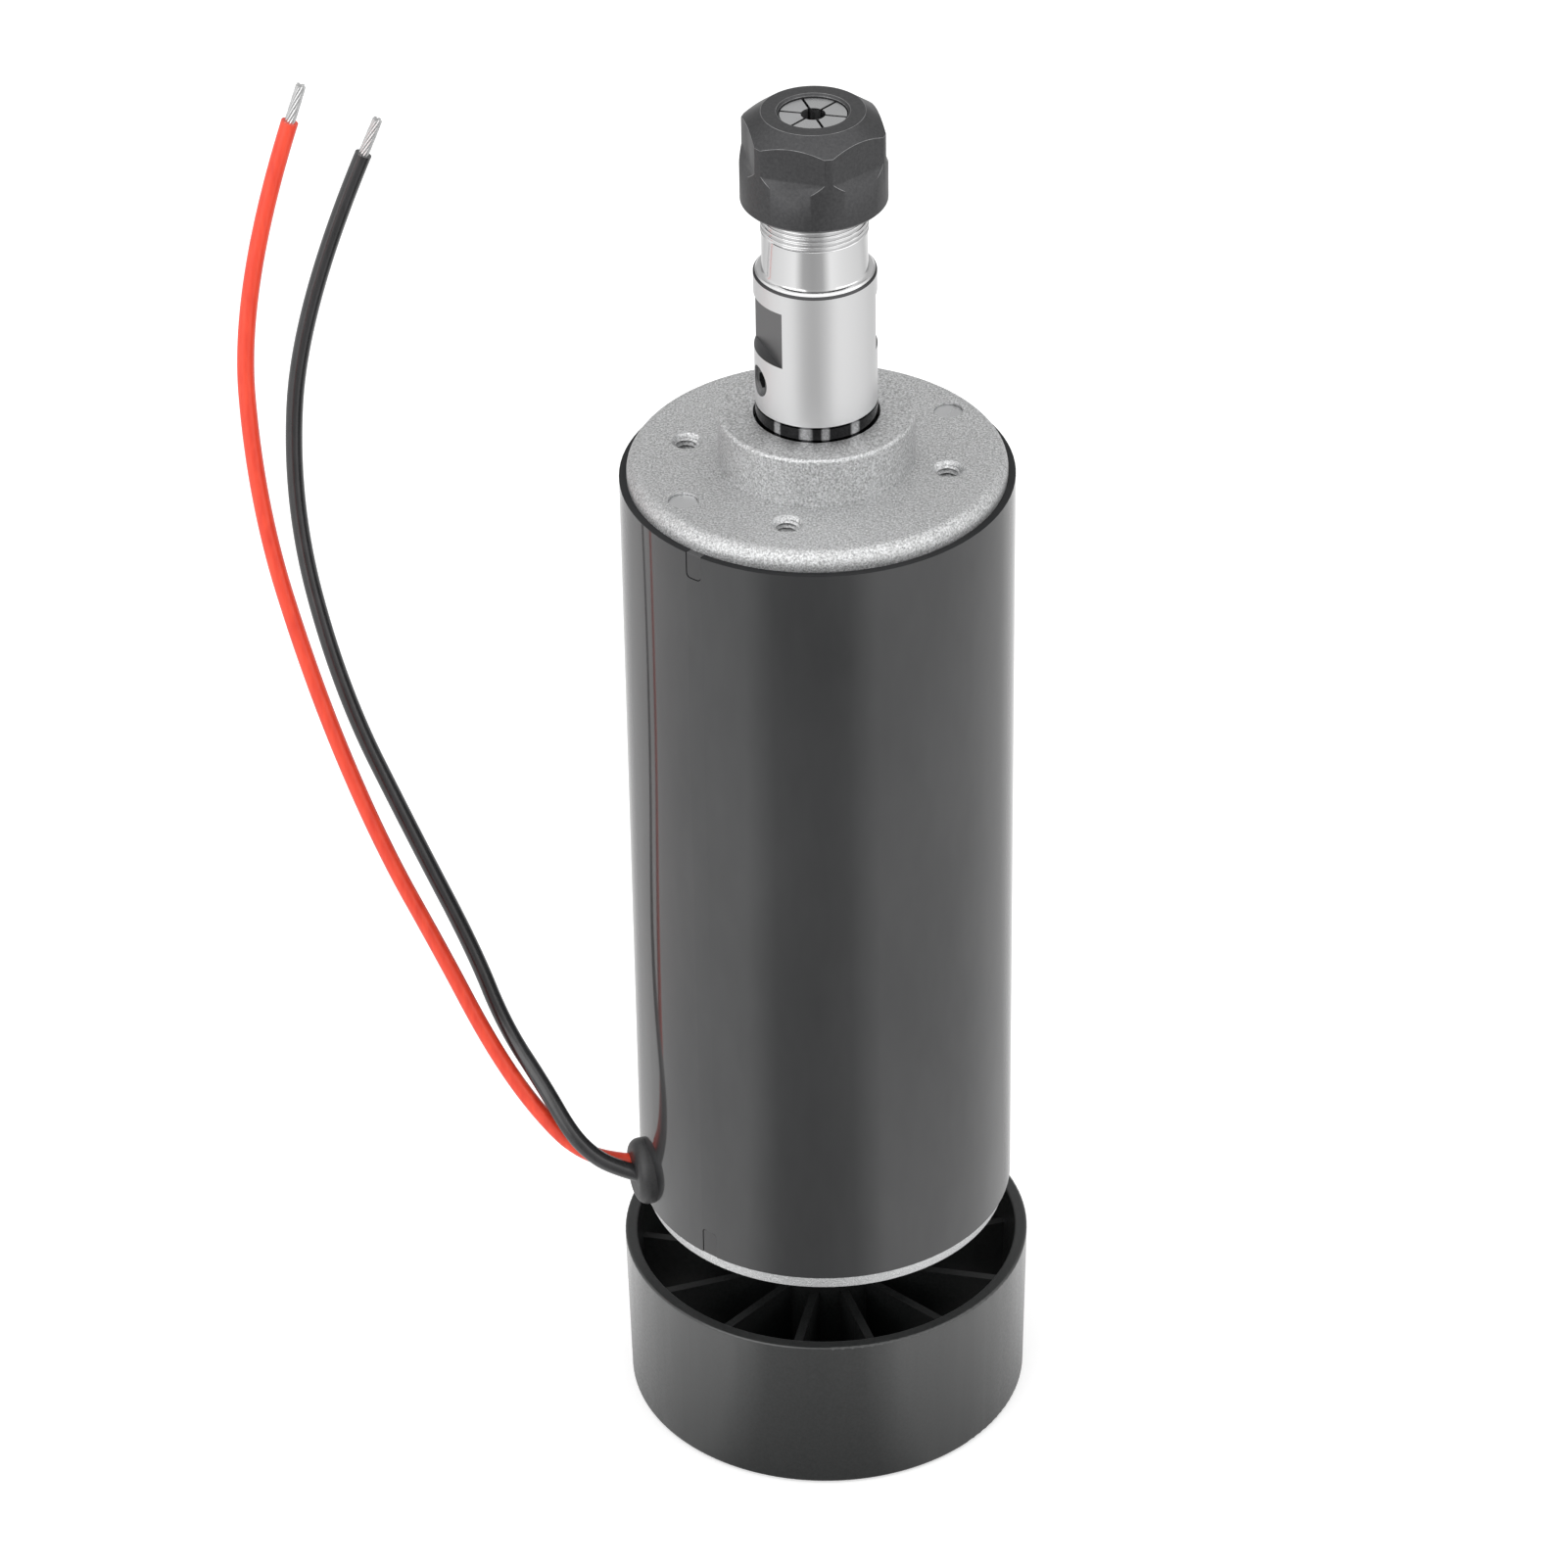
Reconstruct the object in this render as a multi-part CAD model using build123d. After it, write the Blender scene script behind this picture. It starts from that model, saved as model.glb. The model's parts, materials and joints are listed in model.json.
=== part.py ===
"""Brushed DC motor spindle: a can motor with a collet chuck in front and a shrouded fan behind.

Millimetres. The spindle axis is Z with the chuck up, and the origin is at the centre of the
fan's lower face. Azimuths are degrees from the -Y side, positive towards +X.
"""
from build123d import *
import math
import os

# ------------------------------------------------------------------ fits and small clearances
RUNNING_FIT = 0.05        # radial play between pieces that turn or slide on each other
SLIP_FIT = 0.05           # radial play between pieces of one body that are put together by hand
PAINT_GAP = 0.08          # gap round the locating keys, filled by paint
OVERRUN = 1.0             # how far a cutter or a joined bar runs past the face that it meets

# ------------------------------------------------------------------ fan
FAN_HEIGHT = 24.4
FAN_RIM_RADIUS = 28.45
FAN_FOOT_RADIUS = 28.0
FAN_WALL = 1.75
FAN_FOOT_ROUND = 0.6
FAN_RIM_ROUND = 0.3
FAN_BLADES = 12
FAN_BLADE_THICKNESS = 1.2
FAN_BLADE_PHASE = 17.8
FAN_BLADE_TOP_DROP = 6.2
FAN_BLADE_FOOT = 2.0
FAN_HUB_RADIUS = 8.0
FAN_HUB_FOOT = 1.2
FAN_HUB_TOP_DROP = 3.4
FAN_BUSH_RADIUS = 5.0

# ------------------------------------------------------------------ can and end plates
FAN_TO_MOTOR_GAP = 8.2
REAR_FLANGE_THICKNESS = 2.2
REAR_FLANGE_INSET = 0.8
CAN_RADIUS = 26.0
CAN_WALL = 2.0
CAN_LENGTH = 113.8
FRONT_FLANGE_INSET = 1.0
FRONT_FLANGE_THICKNESS = 2.55
FRONT_FLANGE_ROUND = 1.8
FRONT_SPIGOT_DEPTH = 3.6
REAR_SPIGOT_HEIGHT = 9.2
REAR_SPIGOT_WALL = 2.0
BOSS_RADIUS = 12.9
BOSS_HEIGHT = 6.75
BOSS_TOP_ROUND = 0.45
BOSS_LIP = 1.45
BOSS_BORE_RADIUS = 8.3
KEY_WIDTH = 2.4
TOP_KEY_HEIGHT = 3.7
FOOT_KEY_HEIGHT = 4.1
KEY_CORNER_ROUND = 0.6
KEY_AZIMUTH = -38.3
SCREW_HOLE_CIRCLE = 35.0
SCREW_HOLE_RADIUS = 1.65
SCREW_HOLE_CHAMFER = 0.45
SCREW_HOLE_COUNT = 4
SCREW_HOLE_AZIMUTH = -13.0
TIE_BOLT_INSET = 3.4
TIE_BOLT_RADIUS = 1.88
TIE_BOLT_AZIMUTH = -57.7
TIE_BOLT_SUNK = 0.35
TIE_BOLT_HEAD_RADIUS = 3.3
TIE_BOLT_HEAD_HEIGHT = 2.4
TIE_BOLT_HEAD_ROUND = 0.96
TIE_BOLT_SLOT_WIDTH = 0.8
TIE_BOLT_SLOT_DEPTH = 1.32
REAR_TIE_HOLE_PLAY = 0.15
BOARD_TIE_HOLE_PLAY = 0.2
CUP_TO_NOTCH = 2.0

# ------------------------------------------------------------------ bearings
FRONT_BEARING = {"bore": 4.0, "outer": 11.0, "width": 7.0, "ball": 1.98, "balls": 7}
REAR_BEARING = {"bore": 3.0, "outer": 9.5, "width": 6.0, "ball": 1.75, "balls": 7}
SHIELD_THICKNESS = 0.3
SHIELD_INSET = 0.3
SHIELD_GAP = 0.25
SHIELD_STAKE = 0.2
RACE_BOND = 0.02
RACE_SHOULDER = 0.78
CAGE_THICKNESS = 0.9
CAGE_RIM = 0.35
POCKET_PLAY = 0.08
WASHER_THICKNESS = 0.5
WASHER_WIDTH = 1.5
WASHER_PLAY = 0.1
REAR_SHAFT_HOLE_RADIUS = 3.6
REAR_CUP_FLOOR = 1.2
REAR_CUP_WALL = 2.0

# ------------------------------------------------------------------ shaft and armature
CORE_SHAFT_RADIUS = 4.5
SHAFT_REAR_END = 3.0
SHAFT_REAR_CHAMFER = 0.3
SHAFT_FRONT_CHAMFER = 0.5
SHAFT_IN_CHUCK = 14.5
SHAFT_END_ROOM = 1.0
AIR_GAP = 0.6
COMMUTATOR_TO_COIL = 0.8
CORE_LENGTH = 56.0
CORE_SLOTS = 12
TOOTH_WIDTH = 1.68
SLOT_DEPTH_TO_CENTRE = 4.3
SLOT_MOUTH = 1.6
INSULATOR_THICKNESS = 0.6
INSULATOR_INSET = 0.3
WIRE_CLEARANCE = 0.2
END_TURN_HEIGHT = 6.0
END_TURN_INSET = 1.3
END_TURN_ROUND_SHARE = 0.45
END_TURN_INNER_RADIUS = 5.4
COMMUTATOR_RADIUS = 9.5
COMMUTATOR_LENGTH = 16.0
COMMUTATOR_SUNK = 1.0
SEGMENT_THICKNESS = 2.6
SEGMENT_GAP = 0.5
SEGMENT_END_MARGIN = 0.6
RISER_HEIGHT = 1.4
RISER_REACH = 1.0
SPACER_WALL = 1.8
SPACER_TO_COIL = 0.1
SLINGER_RADIUS = 8.4
SLINGER_THICKNESS = 1.5
SLINGER_DROP = 3.5

# ------------------------------------------------------------------ magnets
MAGNET_THICKNESS = 5.78
MAGNET_BOND = 0.02
MAGNET_LENGTH = 64.0
MAGNET_ARC = 130.0
MAGNET_BELOW_CORE = 4.0
CLIP_THICKNESS = 0.6
CLIP_LEG = 3.5
CLIP_END_MARGIN = 4.0

# ------------------------------------------------------------------ brush gear
BRUSH_PLATE_THICKNESS = 1.6
BRUSH_PLATE_BORE_GAP = 2.0
LEAD_NOTCH_DEPTH = 7.0
LEAD_NOTCH_MARGIN = 1.0
BRUSH_WIDTH = 6.5
BRUSH_HEIGHT = 5.0
SPRING_ROOM = 3.85
BRUSH_LIFT = 0.3
BRUSH_SPRING_GAP = 0.1
HOLDER_WALL = 0.8
HOLDER_TO_COMMUTATOR = 2.0
HOLDER_INSET = 1.35
PIGTAIL_SLOT_WIDTH = 1.6
PIGTAIL_SLOT_START = 3.0
SPRING_RADIUS = 1.9
SPRING_WIRE = 0.5
SPRING_TURNS = 4

# ------------------------------------------------------------------ chuck, collet and nut
CHUCK_GAP = 1.75
CHUCK_RADIUS = 8.0
CHUCK_LENGTH = 19.7
CHUCK_EDGE = 0.45
CHUCK_FOOT_EDGE = 0.3
NECK_ROOT = 0.4
NECK_RADIUS = 6.87
NECK_LENGTH = 6.1
THREAD_RADIUS = 6.98
THREAD_LENGTH = 10.1
FLAT_DISTANCE = 6.5
FLAT_HEIGHT = 8.0
FLAT_FOOT = 8.4
FLAT_AZIMUTH = -68.5
GRUB_HEIGHT = 4.5
GRUB_RADIUS = 2.1
GRUB_SUNK = 0.5
GRUB_SOCKET = 1.15
GRUB_SOCKET_DEPTH = 2.0
COLLAR_RADIUS = 8.0
COLLAR_STEP = 0.5
NUT_RADIUS = 9.5
NUT_ABOVE_SHOULDER = 9.85
NUT_HEIGHT = 12.6
NUT_FACE_RADIUS = 6.7
NUT_CHAMFER_DROP = 2.1
NUT_FLATS = 17.0
NUT_FLAT_LENGTH = 5.8
NUT_FACET_DROP = 2.0
NUT_FOOT_EDGE = 0.35
NUT_CORNER_AZIMUTH = 11.5
NUT_MOUTH_RADIUS = 4.45
NUT_MOUTH_CHAMFER = 0.3
COLLET_FACE_DEPTH = 0.5
COLLET_FACE_RADIUS = 4.3
COLLET_FACE_BAND = 0.5
COLLET_HEAD_RADIUS = 5.7
COLLET_HEAD_BAND = 0.5
COLLET_GROOVE_RADIUS = 4.9
COLLET_GROOVE_WIDTH = 1.0
COLLET_BODY_RADIUS = 5.55
COLLET_LENGTH = 18.0
COLLET_TAPER = 8.0
COLLET_HEAD_CONE = 30.0
COLLET_BORE_RADIUS = 1.5875
COLLET_SLOTS = 6
COLLET_SLOT_WIDTH = 0.35
COLLET_SLOT_AZIMUTH = 18.0
COLLET_WEB = 4.0
SEAT_RELIEF_DEPTH = 1.5
NOSE_EDGE = 0.5
THREAD_RELIEF = 0.4

# ------------------------------------------------------------------ grommet and leads
GROMMET_AZIMUTH = -74.0
GROMMET_RADIUS = 4.7
GROMMET_NECK_RADIUS = 3.7
GROMMET_REACH = 1.9
GROMMET_ROUND = 1.5
GROMMET_INNER_RADIUS = 4.6
GROMMET_INNER_DEPTH = 1.2
GROMMET_NOTCH_MARGIN = 0.6
LEAD_DIAMETER = 2.3
LEAD_SPACING = 2.5
LEAD_EXIT_RISE = 0.58         # the leads leave the grommet this far above its centre
LEAD_EXIT_SHIFT = -0.616      # and this far to the back of it
RED_EXIT_SIDE = -12.0         # slant of each lead in the grommet, sideways and upwards
RED_EXIT_UP = 11.0
BLACK_EXIT_SIDE = -14.7
BLACK_EXIT_UP = 21.8
BLACK_EXIT_DROP = 0.1
LEAD_END_STANDOFF = 0.4
INNER_LEAD_INSET = 6.95
INNER_BEND_RADIUS = 1.6
INNER_LEAD_RISE = 3.45        # above the foot of the brush boxes
INNER_FIRST_CORNER_OUT = 2.0
INNER_FIRST_CORNER_TURN = 4.0
RED_SECOND_CORNER_TURN = 24.0
BLACK_THIRD_CORNER_TURN = 40.0
BLACK_CORNERS_IN = 1.0
LEAD_ENTRY_DEPTH = 4.5
TIP_DIAMETER = 1.5
TIP_LENGTH = 5.4
ARC_SHARE = 0.45              # part of the shorter run that a bend may take
RED_ROUTE = [(-27.33, -5.90, 40.08), (-30.76, -6.14, 40.74), (-33.98, -5.80, 42.09), (-37.09, -4.86, 44.3),
             (-42.1, -2.1, 49.7), (-47.0, 0.5, 57.5), (-52.5, 2.5, 70.0), (-60.5, 3.5, 88.5),
             (-68.5, 7.0, 112.0), (-75.0, 12.0, 138.0), (-76.0, 18.0, 167.0), (-68.0, 20.0, 190.5)]
BLACK_ROUTE = [(-26.64, -8.30, 39.98), (-29.89, -8.37, 41.27), (-32.78, -7.95, 43.26), (-35.49, -6.84, 46.2),
               (-39.0, -3.1, 51.3), (-44.5, 3.4, 57.0), (-48.5, 6.5, 68.0), (-56.0, 8.0, 86.0),
               (-65.5, 13.5, 107.0), (-71.5, 23.0, 131.0), (-69.0, 28.5, 158.0), (-59.5, 30.5, 180.0)]

# ------------------------------------------------------------------ heights that follow
REAR_FACE = FAN_HEIGHT + FAN_TO_MOTOR_GAP
CAN_FOOT = REAR_FACE + REAR_FLANGE_THICKNESS
CAN_TOP = CAN_FOOT + CAN_LENGTH
PLATE_TOP = CAN_TOP + FRONT_FLANGE_THICKNESS
BOSS_TOP = PLATE_TOP + BOSS_HEIGHT
FRONT_BEARING_TOP = BOSS_TOP - BOSS_LIP
FRONT_BEARING_FOOT = FRONT_BEARING_TOP - FRONT_BEARING["width"]
REAR_BEARING_FOOT = REAR_FACE + REAR_CUP_FLOOR + WASHER_THICKNESS
REAR_BEARING_TOP = REAR_BEARING_FOOT + REAR_BEARING["width"]
CHUCK_FOOT = BOSS_TOP + CHUCK_GAP
SHAFT_TOP = CHUCK_FOOT + SHAFT_IN_CHUCK
SHOULDER = CHUCK_FOOT + CHUCK_LENGTH
THREAD_START = SHOULDER + NECK_LENGTH
NOSE_TOP = THREAD_START + THREAD_LENGTH
NUT_FOOT = SHOULDER + NUT_ABOVE_SHOULDER
NUT_TOP = NUT_FOOT + NUT_HEIGHT
COLLET_FACE = NUT_TOP - COLLET_FACE_DEPTH
COLLET_FOOT = COLLET_FACE - COLLET_LENGTH
CAN_BORE = CAN_RADIUS - CAN_WALL
SPIGOT_RADIUS = CAN_BORE - SLIP_FIT
REAR_FLANGE_RADIUS = CAN_RADIUS - REAR_FLANGE_INSET
FRONT_FLANGE_RADIUS = CAN_RADIUS - FRONT_FLANGE_INSET
MAGNET_OUTER_RADIUS = CAN_BORE - MAGNET_BOND
MAGNET_INNER_RADIUS = MAGNET_OUTER_RADIUS - MAGNET_THICKNESS
CORE_RADIUS = MAGNET_INNER_RADIUS - AIR_GAP
SLOT_CIRCLE_RADIUS = CORE_RADIUS - SLOT_DEPTH_TO_CENTRE
SLOT_RADIUS = SLOT_CIRCLE_RADIUS * math.sin(math.pi / CORE_SLOTS) - TOOTH_WIDTH / 2
END_TURN_OUTER_RADIUS = CORE_RADIUS - END_TURN_INSET
HOLDER_START = COMMUTATOR_RADIUS + HOLDER_TO_COMMUTATOR
HOLDER_END = SPIGOT_RADIUS - HOLDER_INSET
BRUSH_FACE_RADIUS = COMMUTATOR_RADIUS + RUNNING_FIT
BRUSH_LENGTH = HOLDER_END - HOLDER_WALL - SPRING_ROOM - BRUSH_LIFT - BRUSH_SPRING_GAP - BRUSH_FACE_RADIUS
INNER_LEAD_RADIUS = SPIGOT_RADIUS - INNER_LEAD_INSET
GROMMET_HEIGHT = CAN_FOOT + GROMMET_RADIUS
MAGNET_AZIMUTH = TIE_BOLT_AZIMUTH + 90.0
BRUSH_PLATE_FOOT = CAN_FOOT + REAR_SPIGOT_HEIGHT
BRUSH_PLATE_TOP = BRUSH_PLATE_FOOT + BRUSH_PLATE_THICKNESS
COMMUTATOR_FOOT = BRUSH_PLATE_TOP - COMMUTATOR_SUNK
COMMUTATOR_TOP = COMMUTATOR_FOOT + COMMUTATOR_LENGTH
CORE_FOOT = COMMUTATOR_TOP + COMMUTATOR_TO_COIL + END_TURN_HEIGHT + INSULATOR_THICKNESS
CORE_TOP = CORE_FOOT + CORE_LENGTH
MAGNET_FOOT = CORE_FOOT - MAGNET_BELOW_CORE
HOLDER_FOOT = BRUSH_PLATE_TOP
BRUSH_FOOT = HOLDER_FOOT + HOLDER_WALL
TIE_RADIUS = CAN_BORE - TIE_BOLT_INSET
SCREW_HOLE_CIRCLE_RADIUS = SCREW_HOLE_CIRCLE / 2
LOW = -50.0
HIGH = 400.0


# ------------------------------------------------------------------ helpers
def turned(*corners):
    """Solid of revolution about Z through (radius, height) corners."""
    outline = Plane.XZ * Polyline(*corners, close=True)
    return revolve(make_face(outline), Axis.Z)


def tube(outer, inner, foot, top):
    return turned((inner, foot), (outer, foot), (outer, top), (inner, top))


def rod(radius, foot, top):
    return Pos(0, 0, foot) * Cylinder(radius, top - foot, align=(Align.CENTER, Align.CENTER, Align.MIN))


def block(x0, x1, y0, y1, z0, z1):
    box = Box(x1 - x0, y1 - y0, z1 - z0, align=(Align.MIN, Align.MIN, Align.MIN))
    return Pos(x0, y0, z0) * box


def at(azimuth, shape):
    """Turn a shape that was built along +X so that it points to an azimuth."""
    return Rot(0, 0, azimuth - 90) * shape


def around(count, azimuth, shape):
    """Copies of a shape built along +X, evenly spaced round the axis."""
    return [at(azimuth + 360 / count * i, shape) for i in range(count)]


def along_x(radius, start, end, z=0.0, y=0.0):
    """Round bar along +X from start to end."""
    bar = Cylinder(radius, end - start, align=(Align.CENTER, Align.CENTER, Align.MIN))
    return Pos(start, y, z) * Rot(0, 90, 0) * bar


def sector(outer, inner, arc, foot, top):
    """Part of a ring, arc degrees wide, centred on +X."""
    half = math.radians(arc / 2)
    far = outer * 3
    wedge = make_face(Polyline((0, 0), (far * math.cos(half), -far * math.sin(half)), (far * 1.5, 0),
                               (far * math.cos(half), far * math.sin(half)), close=True))
    return tube(outer, inner, foot, top) & (Pos(0, 0, foot) * extrude(wedge, top - foot))


def torus_cut(pitch, radius, z):
    return Pos(0, 0, z) * Torus(pitch, radius)


# ------------------------------------------------------------------ fan
def fan_wheel():
    """Shrouded fan: a drafted outer ring and a hub, joined by radial blades and open both ways."""
    inner_top = FAN_RIM_RADIUS - FAN_WALL
    inner_foot = FAN_FOOT_RADIUS - FAN_WALL
    ring = turned((inner_foot, 0), (FAN_FOOT_RADIUS, 0), (FAN_RIM_RADIUS, FAN_HEIGHT),
                  (inner_top, FAN_HEIGHT))
    foot_edge = ring.edges().filter_by(GeomType.CIRCLE).group_by(Axis.Z)[0].sort_by(SortBy.RADIUS)[-1]
    ring = fillet(foot_edge, FAN_FOOT_ROUND)
    rim_edges = ring.edges().filter_by(GeomType.CIRCLE).group_by(Axis.Z)[-1]
    ring = fillet(rim_edges, FAN_RIM_ROUND)
    hub = rod(FAN_HUB_RADIUS, FAN_HUB_FOOT, FAN_HEIGHT - FAN_HUB_TOP_DROP)
    half = FAN_BLADE_THICKNESS / 2
    blade = block(FAN_BUSH_RADIUS + OVERRUN, inner_foot + FAN_WALL / 2 + FAN_RIM_RADIUS - FAN_FOOT_RADIUS,
                  -half, half, FAN_BLADE_FOOT, FAN_HEIGHT - FAN_BLADE_TOP_DROP)
    wheel = ring + [hub] + around(FAN_BLADES, FAN_BLADE_PHASE, blade)
    return wheel - rod(FAN_BUSH_RADIUS, LOW, HIGH)


def fan_bushing():
    """Brass bush pressed into the hub and onto the rear end of the shaft."""
    return tube(FAN_BUSH_RADIUS, REAR_BEARING["bore"], FAN_HUB_FOOT, FAN_HEIGHT - FAN_HUB_TOP_DROP)


# ------------------------------------------------------------------ housing
def key_slots(margin):
    """The notches at both ends of the can, or with a margin the keys that fill them."""
    half = KEY_WIDTH / 2 - margin
    inner = CAN_BORE - OVERRUN
    outer = CAN_RADIUS + OVERRUN
    top = block(inner, outer, -half, half, CAN_TOP - TOP_KEY_HEIGHT + margin, CAN_TOP + OVERRUN)
    foot = block(inner, outer, -half, half, CAN_FOOT - OVERRUN, CAN_FOOT + FOOT_KEY_HEIGHT - margin)
    top = fillet(top.edges().filter_by(Axis.X).group_by(Axis.Z)[0], KEY_CORNER_ROUND)
    foot = fillet(foot.edges().filter_by(Axis.X).group_by(Axis.Z)[-1], KEY_CORNER_ROUND)
    return [at(KEY_AZIMUTH, top), at(KEY_AZIMUTH, foot)]


def motor_can():
    can = tube(CAN_RADIUS, CAN_BORE, CAN_FOOT, CAN_TOP) - key_slots(0)
    hole = along_x(GROMMET_NECK_RADIUS + SLIP_FIT, CAN_BORE - GROMMET_NECK_RADIUS, CAN_RADIUS + OVERRUN,
                   GROMMET_HEIGHT)
    return can - at(GROMMET_AZIMUTH, hole)


def locating_keys():
    """Two keys that stop the end plates turning in the can, under the can's paint."""
    skin = tube(CAN_RADIUS - PAINT_GAP, CAN_BORE, CAN_FOOT, CAN_TOP)
    return Compound(children=[(key & skin).solids()[0] for key in key_slots(PAINT_GAP)])


def tie_holes(radius):
    return around(2, TIE_BOLT_AZIMUTH, Pos(TIE_RADIUS, 0, 0) * rod(radius, LOW, HIGH))


def front_end_plate():
    """Die-cast plate with the bearing boss, four tapped holes and two tie-bolt holes."""
    outline = turned((0, CAN_TOP - FRONT_SPIGOT_DEPTH), (SPIGOT_RADIUS, CAN_TOP - FRONT_SPIGOT_DEPTH),
                     (SPIGOT_RADIUS, CAN_TOP), (FRONT_FLANGE_RADIUS, CAN_TOP),
                     (FRONT_FLANGE_RADIUS, PLATE_TOP), (BOSS_RADIUS, PLATE_TOP),
                     (BOSS_RADIUS, BOSS_TOP), (0, BOSS_TOP))
    flange_edge = outline.edges().filter_by(GeomType.CIRCLE).filter_by(
        lambda edge: abs(edge.radius - FRONT_FLANGE_RADIUS) < 0.01).sort_by(Axis.Z)[-1]
    plate = fillet(flange_edge, FRONT_FLANGE_ROUND)
    boss_edge = plate.edges().filter_by(GeomType.CIRCLE).sort_by(Axis.Z)[-1]
    plate = fillet(boss_edge, BOSS_TOP_ROUND)
    plate -= rod(BOSS_BORE_RADIUS, LOW, HIGH)
    plate -= rod(FRONT_BEARING["outer"], LOW, FRONT_BEARING_TOP)
    hole = rod(SCREW_HOLE_RADIUS, LOW, HIGH)
    mouth = turned((0, PLATE_TOP - SCREW_HOLE_CHAMFER), (SCREW_HOLE_RADIUS, PLATE_TOP - SCREW_HOLE_CHAMFER),
                   (SCREW_HOLE_RADIUS + SCREW_HOLE_CHAMFER, PLATE_TOP), (0, PLATE_TOP))
    for cutter in (hole, mouth):
        plate -= around(SCREW_HOLE_COUNT, SCREW_HOLE_AZIMUTH, Pos(SCREW_HOLE_CIRCLE_RADIUS, 0, 0) * cutter)
    return plate - tie_holes(TIE_BOLT_RADIUS + SLIP_FIT)


def rear_end_plate():
    """Rear plate: flange, bearing cup and a collar inside the can that carries the brush plate."""
    cup_outer = REAR_BEARING["outer"] + REAR_CUP_WALL
    plate = tube(REAR_FLANGE_RADIUS, REAR_SHAFT_HOLE_RADIUS, REAR_FACE, CAN_FOOT)
    plate += rod(cup_outer, REAR_FACE, REAR_BEARING_TOP)
    plate += tube(SPIGOT_RADIUS, SPIGOT_RADIUS - REAR_SPIGOT_WALL, CAN_FOOT, BRUSH_PLATE_FOOT)
    plate -= rod(REAR_BEARING["outer"], REAR_BEARING_FOOT - WASHER_THICKNESS, HIGH)
    plate -= rod(REAR_SHAFT_HOLE_RADIUS, LOW, HIGH)
    notch_half = GROMMET_INNER_RADIUS + GROMMET_NOTCH_MARGIN
    notch = block(cup_outer + CUP_TO_NOTCH, CAN_RADIUS, -notch_half, notch_half, CAN_FOOT, HIGH)
    plate -= at(GROMMET_AZIMUTH, notch)
    return plate - tie_holes(TIE_BOLT_RADIUS + REAR_TIE_HOLE_PLAY)


def tie_bolts():
    """Two long pan-head screws that clamp both end plates on the can."""
    shank = rod(TIE_BOLT_RADIUS, REAR_FACE, PLATE_TOP - TIE_BOLT_SUNK)
    head_face = REAR_FACE - TIE_BOLT_HEAD_HEIGHT
    head = rod(TIE_BOLT_HEAD_RADIUS, head_face, REAR_FACE)
    head = fillet(head.edges().group_by(Axis.Z)[0], TIE_BOLT_HEAD_ROUND)
    slot_half = TIE_BOLT_SLOT_WIDTH / 2
    for turn in (0, 90):
        slot = block(-TIE_BOLT_RADIUS, TIE_BOLT_RADIUS, -slot_half, slot_half, head_face,
                     head_face + TIE_BOLT_SLOT_DEPTH)
        head -= Rot(0, 0, turn) * slot
    bolt = Pos(TIE_RADIUS, 0, 0) * (shank + head)
    return Compound(children=[copy.solids()[0] for copy in around(2, TIE_BOLT_AZIMUTH, bolt)])


# ------------------------------------------------------------------ magnets
def magnets():
    top = MAGNET_FOOT + MAGNET_LENGTH
    arc = sector(MAGNET_OUTER_RADIUS, MAGNET_INNER_RADIUS, MAGNET_ARC, MAGNET_FOOT, top)
    return Compound(children=[copy.solids()[0] for copy in around(2, MAGNET_AZIMUTH, arc)])


def magnet_clips():
    """Spring-steel clips that push the two magnets apart along both gaps."""
    gap = 180 - MAGNET_ARC
    play = math.degrees(SLIP_FIT / CAN_BORE) * 2
    foot = MAGNET_FOOT + CLIP_END_MARGIN
    top = MAGNET_FOOT + MAGNET_LENGTH - CLIP_END_MARGIN
    outer = MAGNET_OUTER_RADIUS
    strip = sector(outer, outer - CLIP_THICKNESS, gap - play, foot, top)
    leg_ring = sector(outer, outer - CLIP_LEG, gap - play, foot, top)
    leg_gap = math.degrees(CLIP_THICKNESS / CAN_BORE) * 2
    legs = leg_ring - sector(outer + OVERRUN, outer - CLIP_LEG - OVERRUN, gap - play - leg_gap,
                             LOW, HIGH)
    clip = strip + legs
    return Compound(children=[copy.solids()[0] for copy in around(2, TIE_BOLT_AZIMUTH, clip)])


# ------------------------------------------------------------------ bearings
def bearing_sizes(bearing):
    pitch = (bearing["bore"] + bearing["outer"]) / 2
    shoulder_in = pitch - bearing["ball"] * RACE_SHOULDER
    shoulder_out = pitch + bearing["ball"] * RACE_SHOULDER
    return pitch, shoulder_in, shoulder_out


def outer_race(bearing, foot):
    """Outer ring with both dust shields staked into it."""
    pitch, shoulder_in, shoulder_out = bearing_sizes(bearing)
    top = foot + bearing["width"]
    race = tube(bearing["outer"] - RACE_BOND, shoulder_out, foot, top)
    race -= torus_cut(pitch, bearing["ball"] + RUNNING_FIT, (foot + top) / 2)
    bore = shoulder_in + SHIELD_GAP
    rim = shoulder_out + SHIELD_STAKE
    low_shield = tube(rim, bore, foot + SHIELD_INSET, foot + SHIELD_INSET + SHIELD_THICKNESS)
    high_shield = tube(rim, bore, top - SHIELD_INSET - SHIELD_THICKNESS, top - SHIELD_INSET)
    return race + low_shield + high_shield


def inner_race(bearing, foot):
    pitch, shoulder_in, _ = bearing_sizes(bearing)
    top = foot + bearing["width"]
    race = tube(shoulder_in, bearing["bore"], foot, top)
    return race - torus_cut(pitch, bearing["ball"] + RUNNING_FIT, (foot + top) / 2)


def balls(bearing, foot):
    pitch, _, _ = bearing_sizes(bearing)
    ball = Pos(pitch, 0, foot + bearing["width"] / 2) * Sphere(bearing["ball"])
    return Compound(children=[copy.solids()[0] for copy in around(bearing["balls"], 0, ball)])


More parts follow.
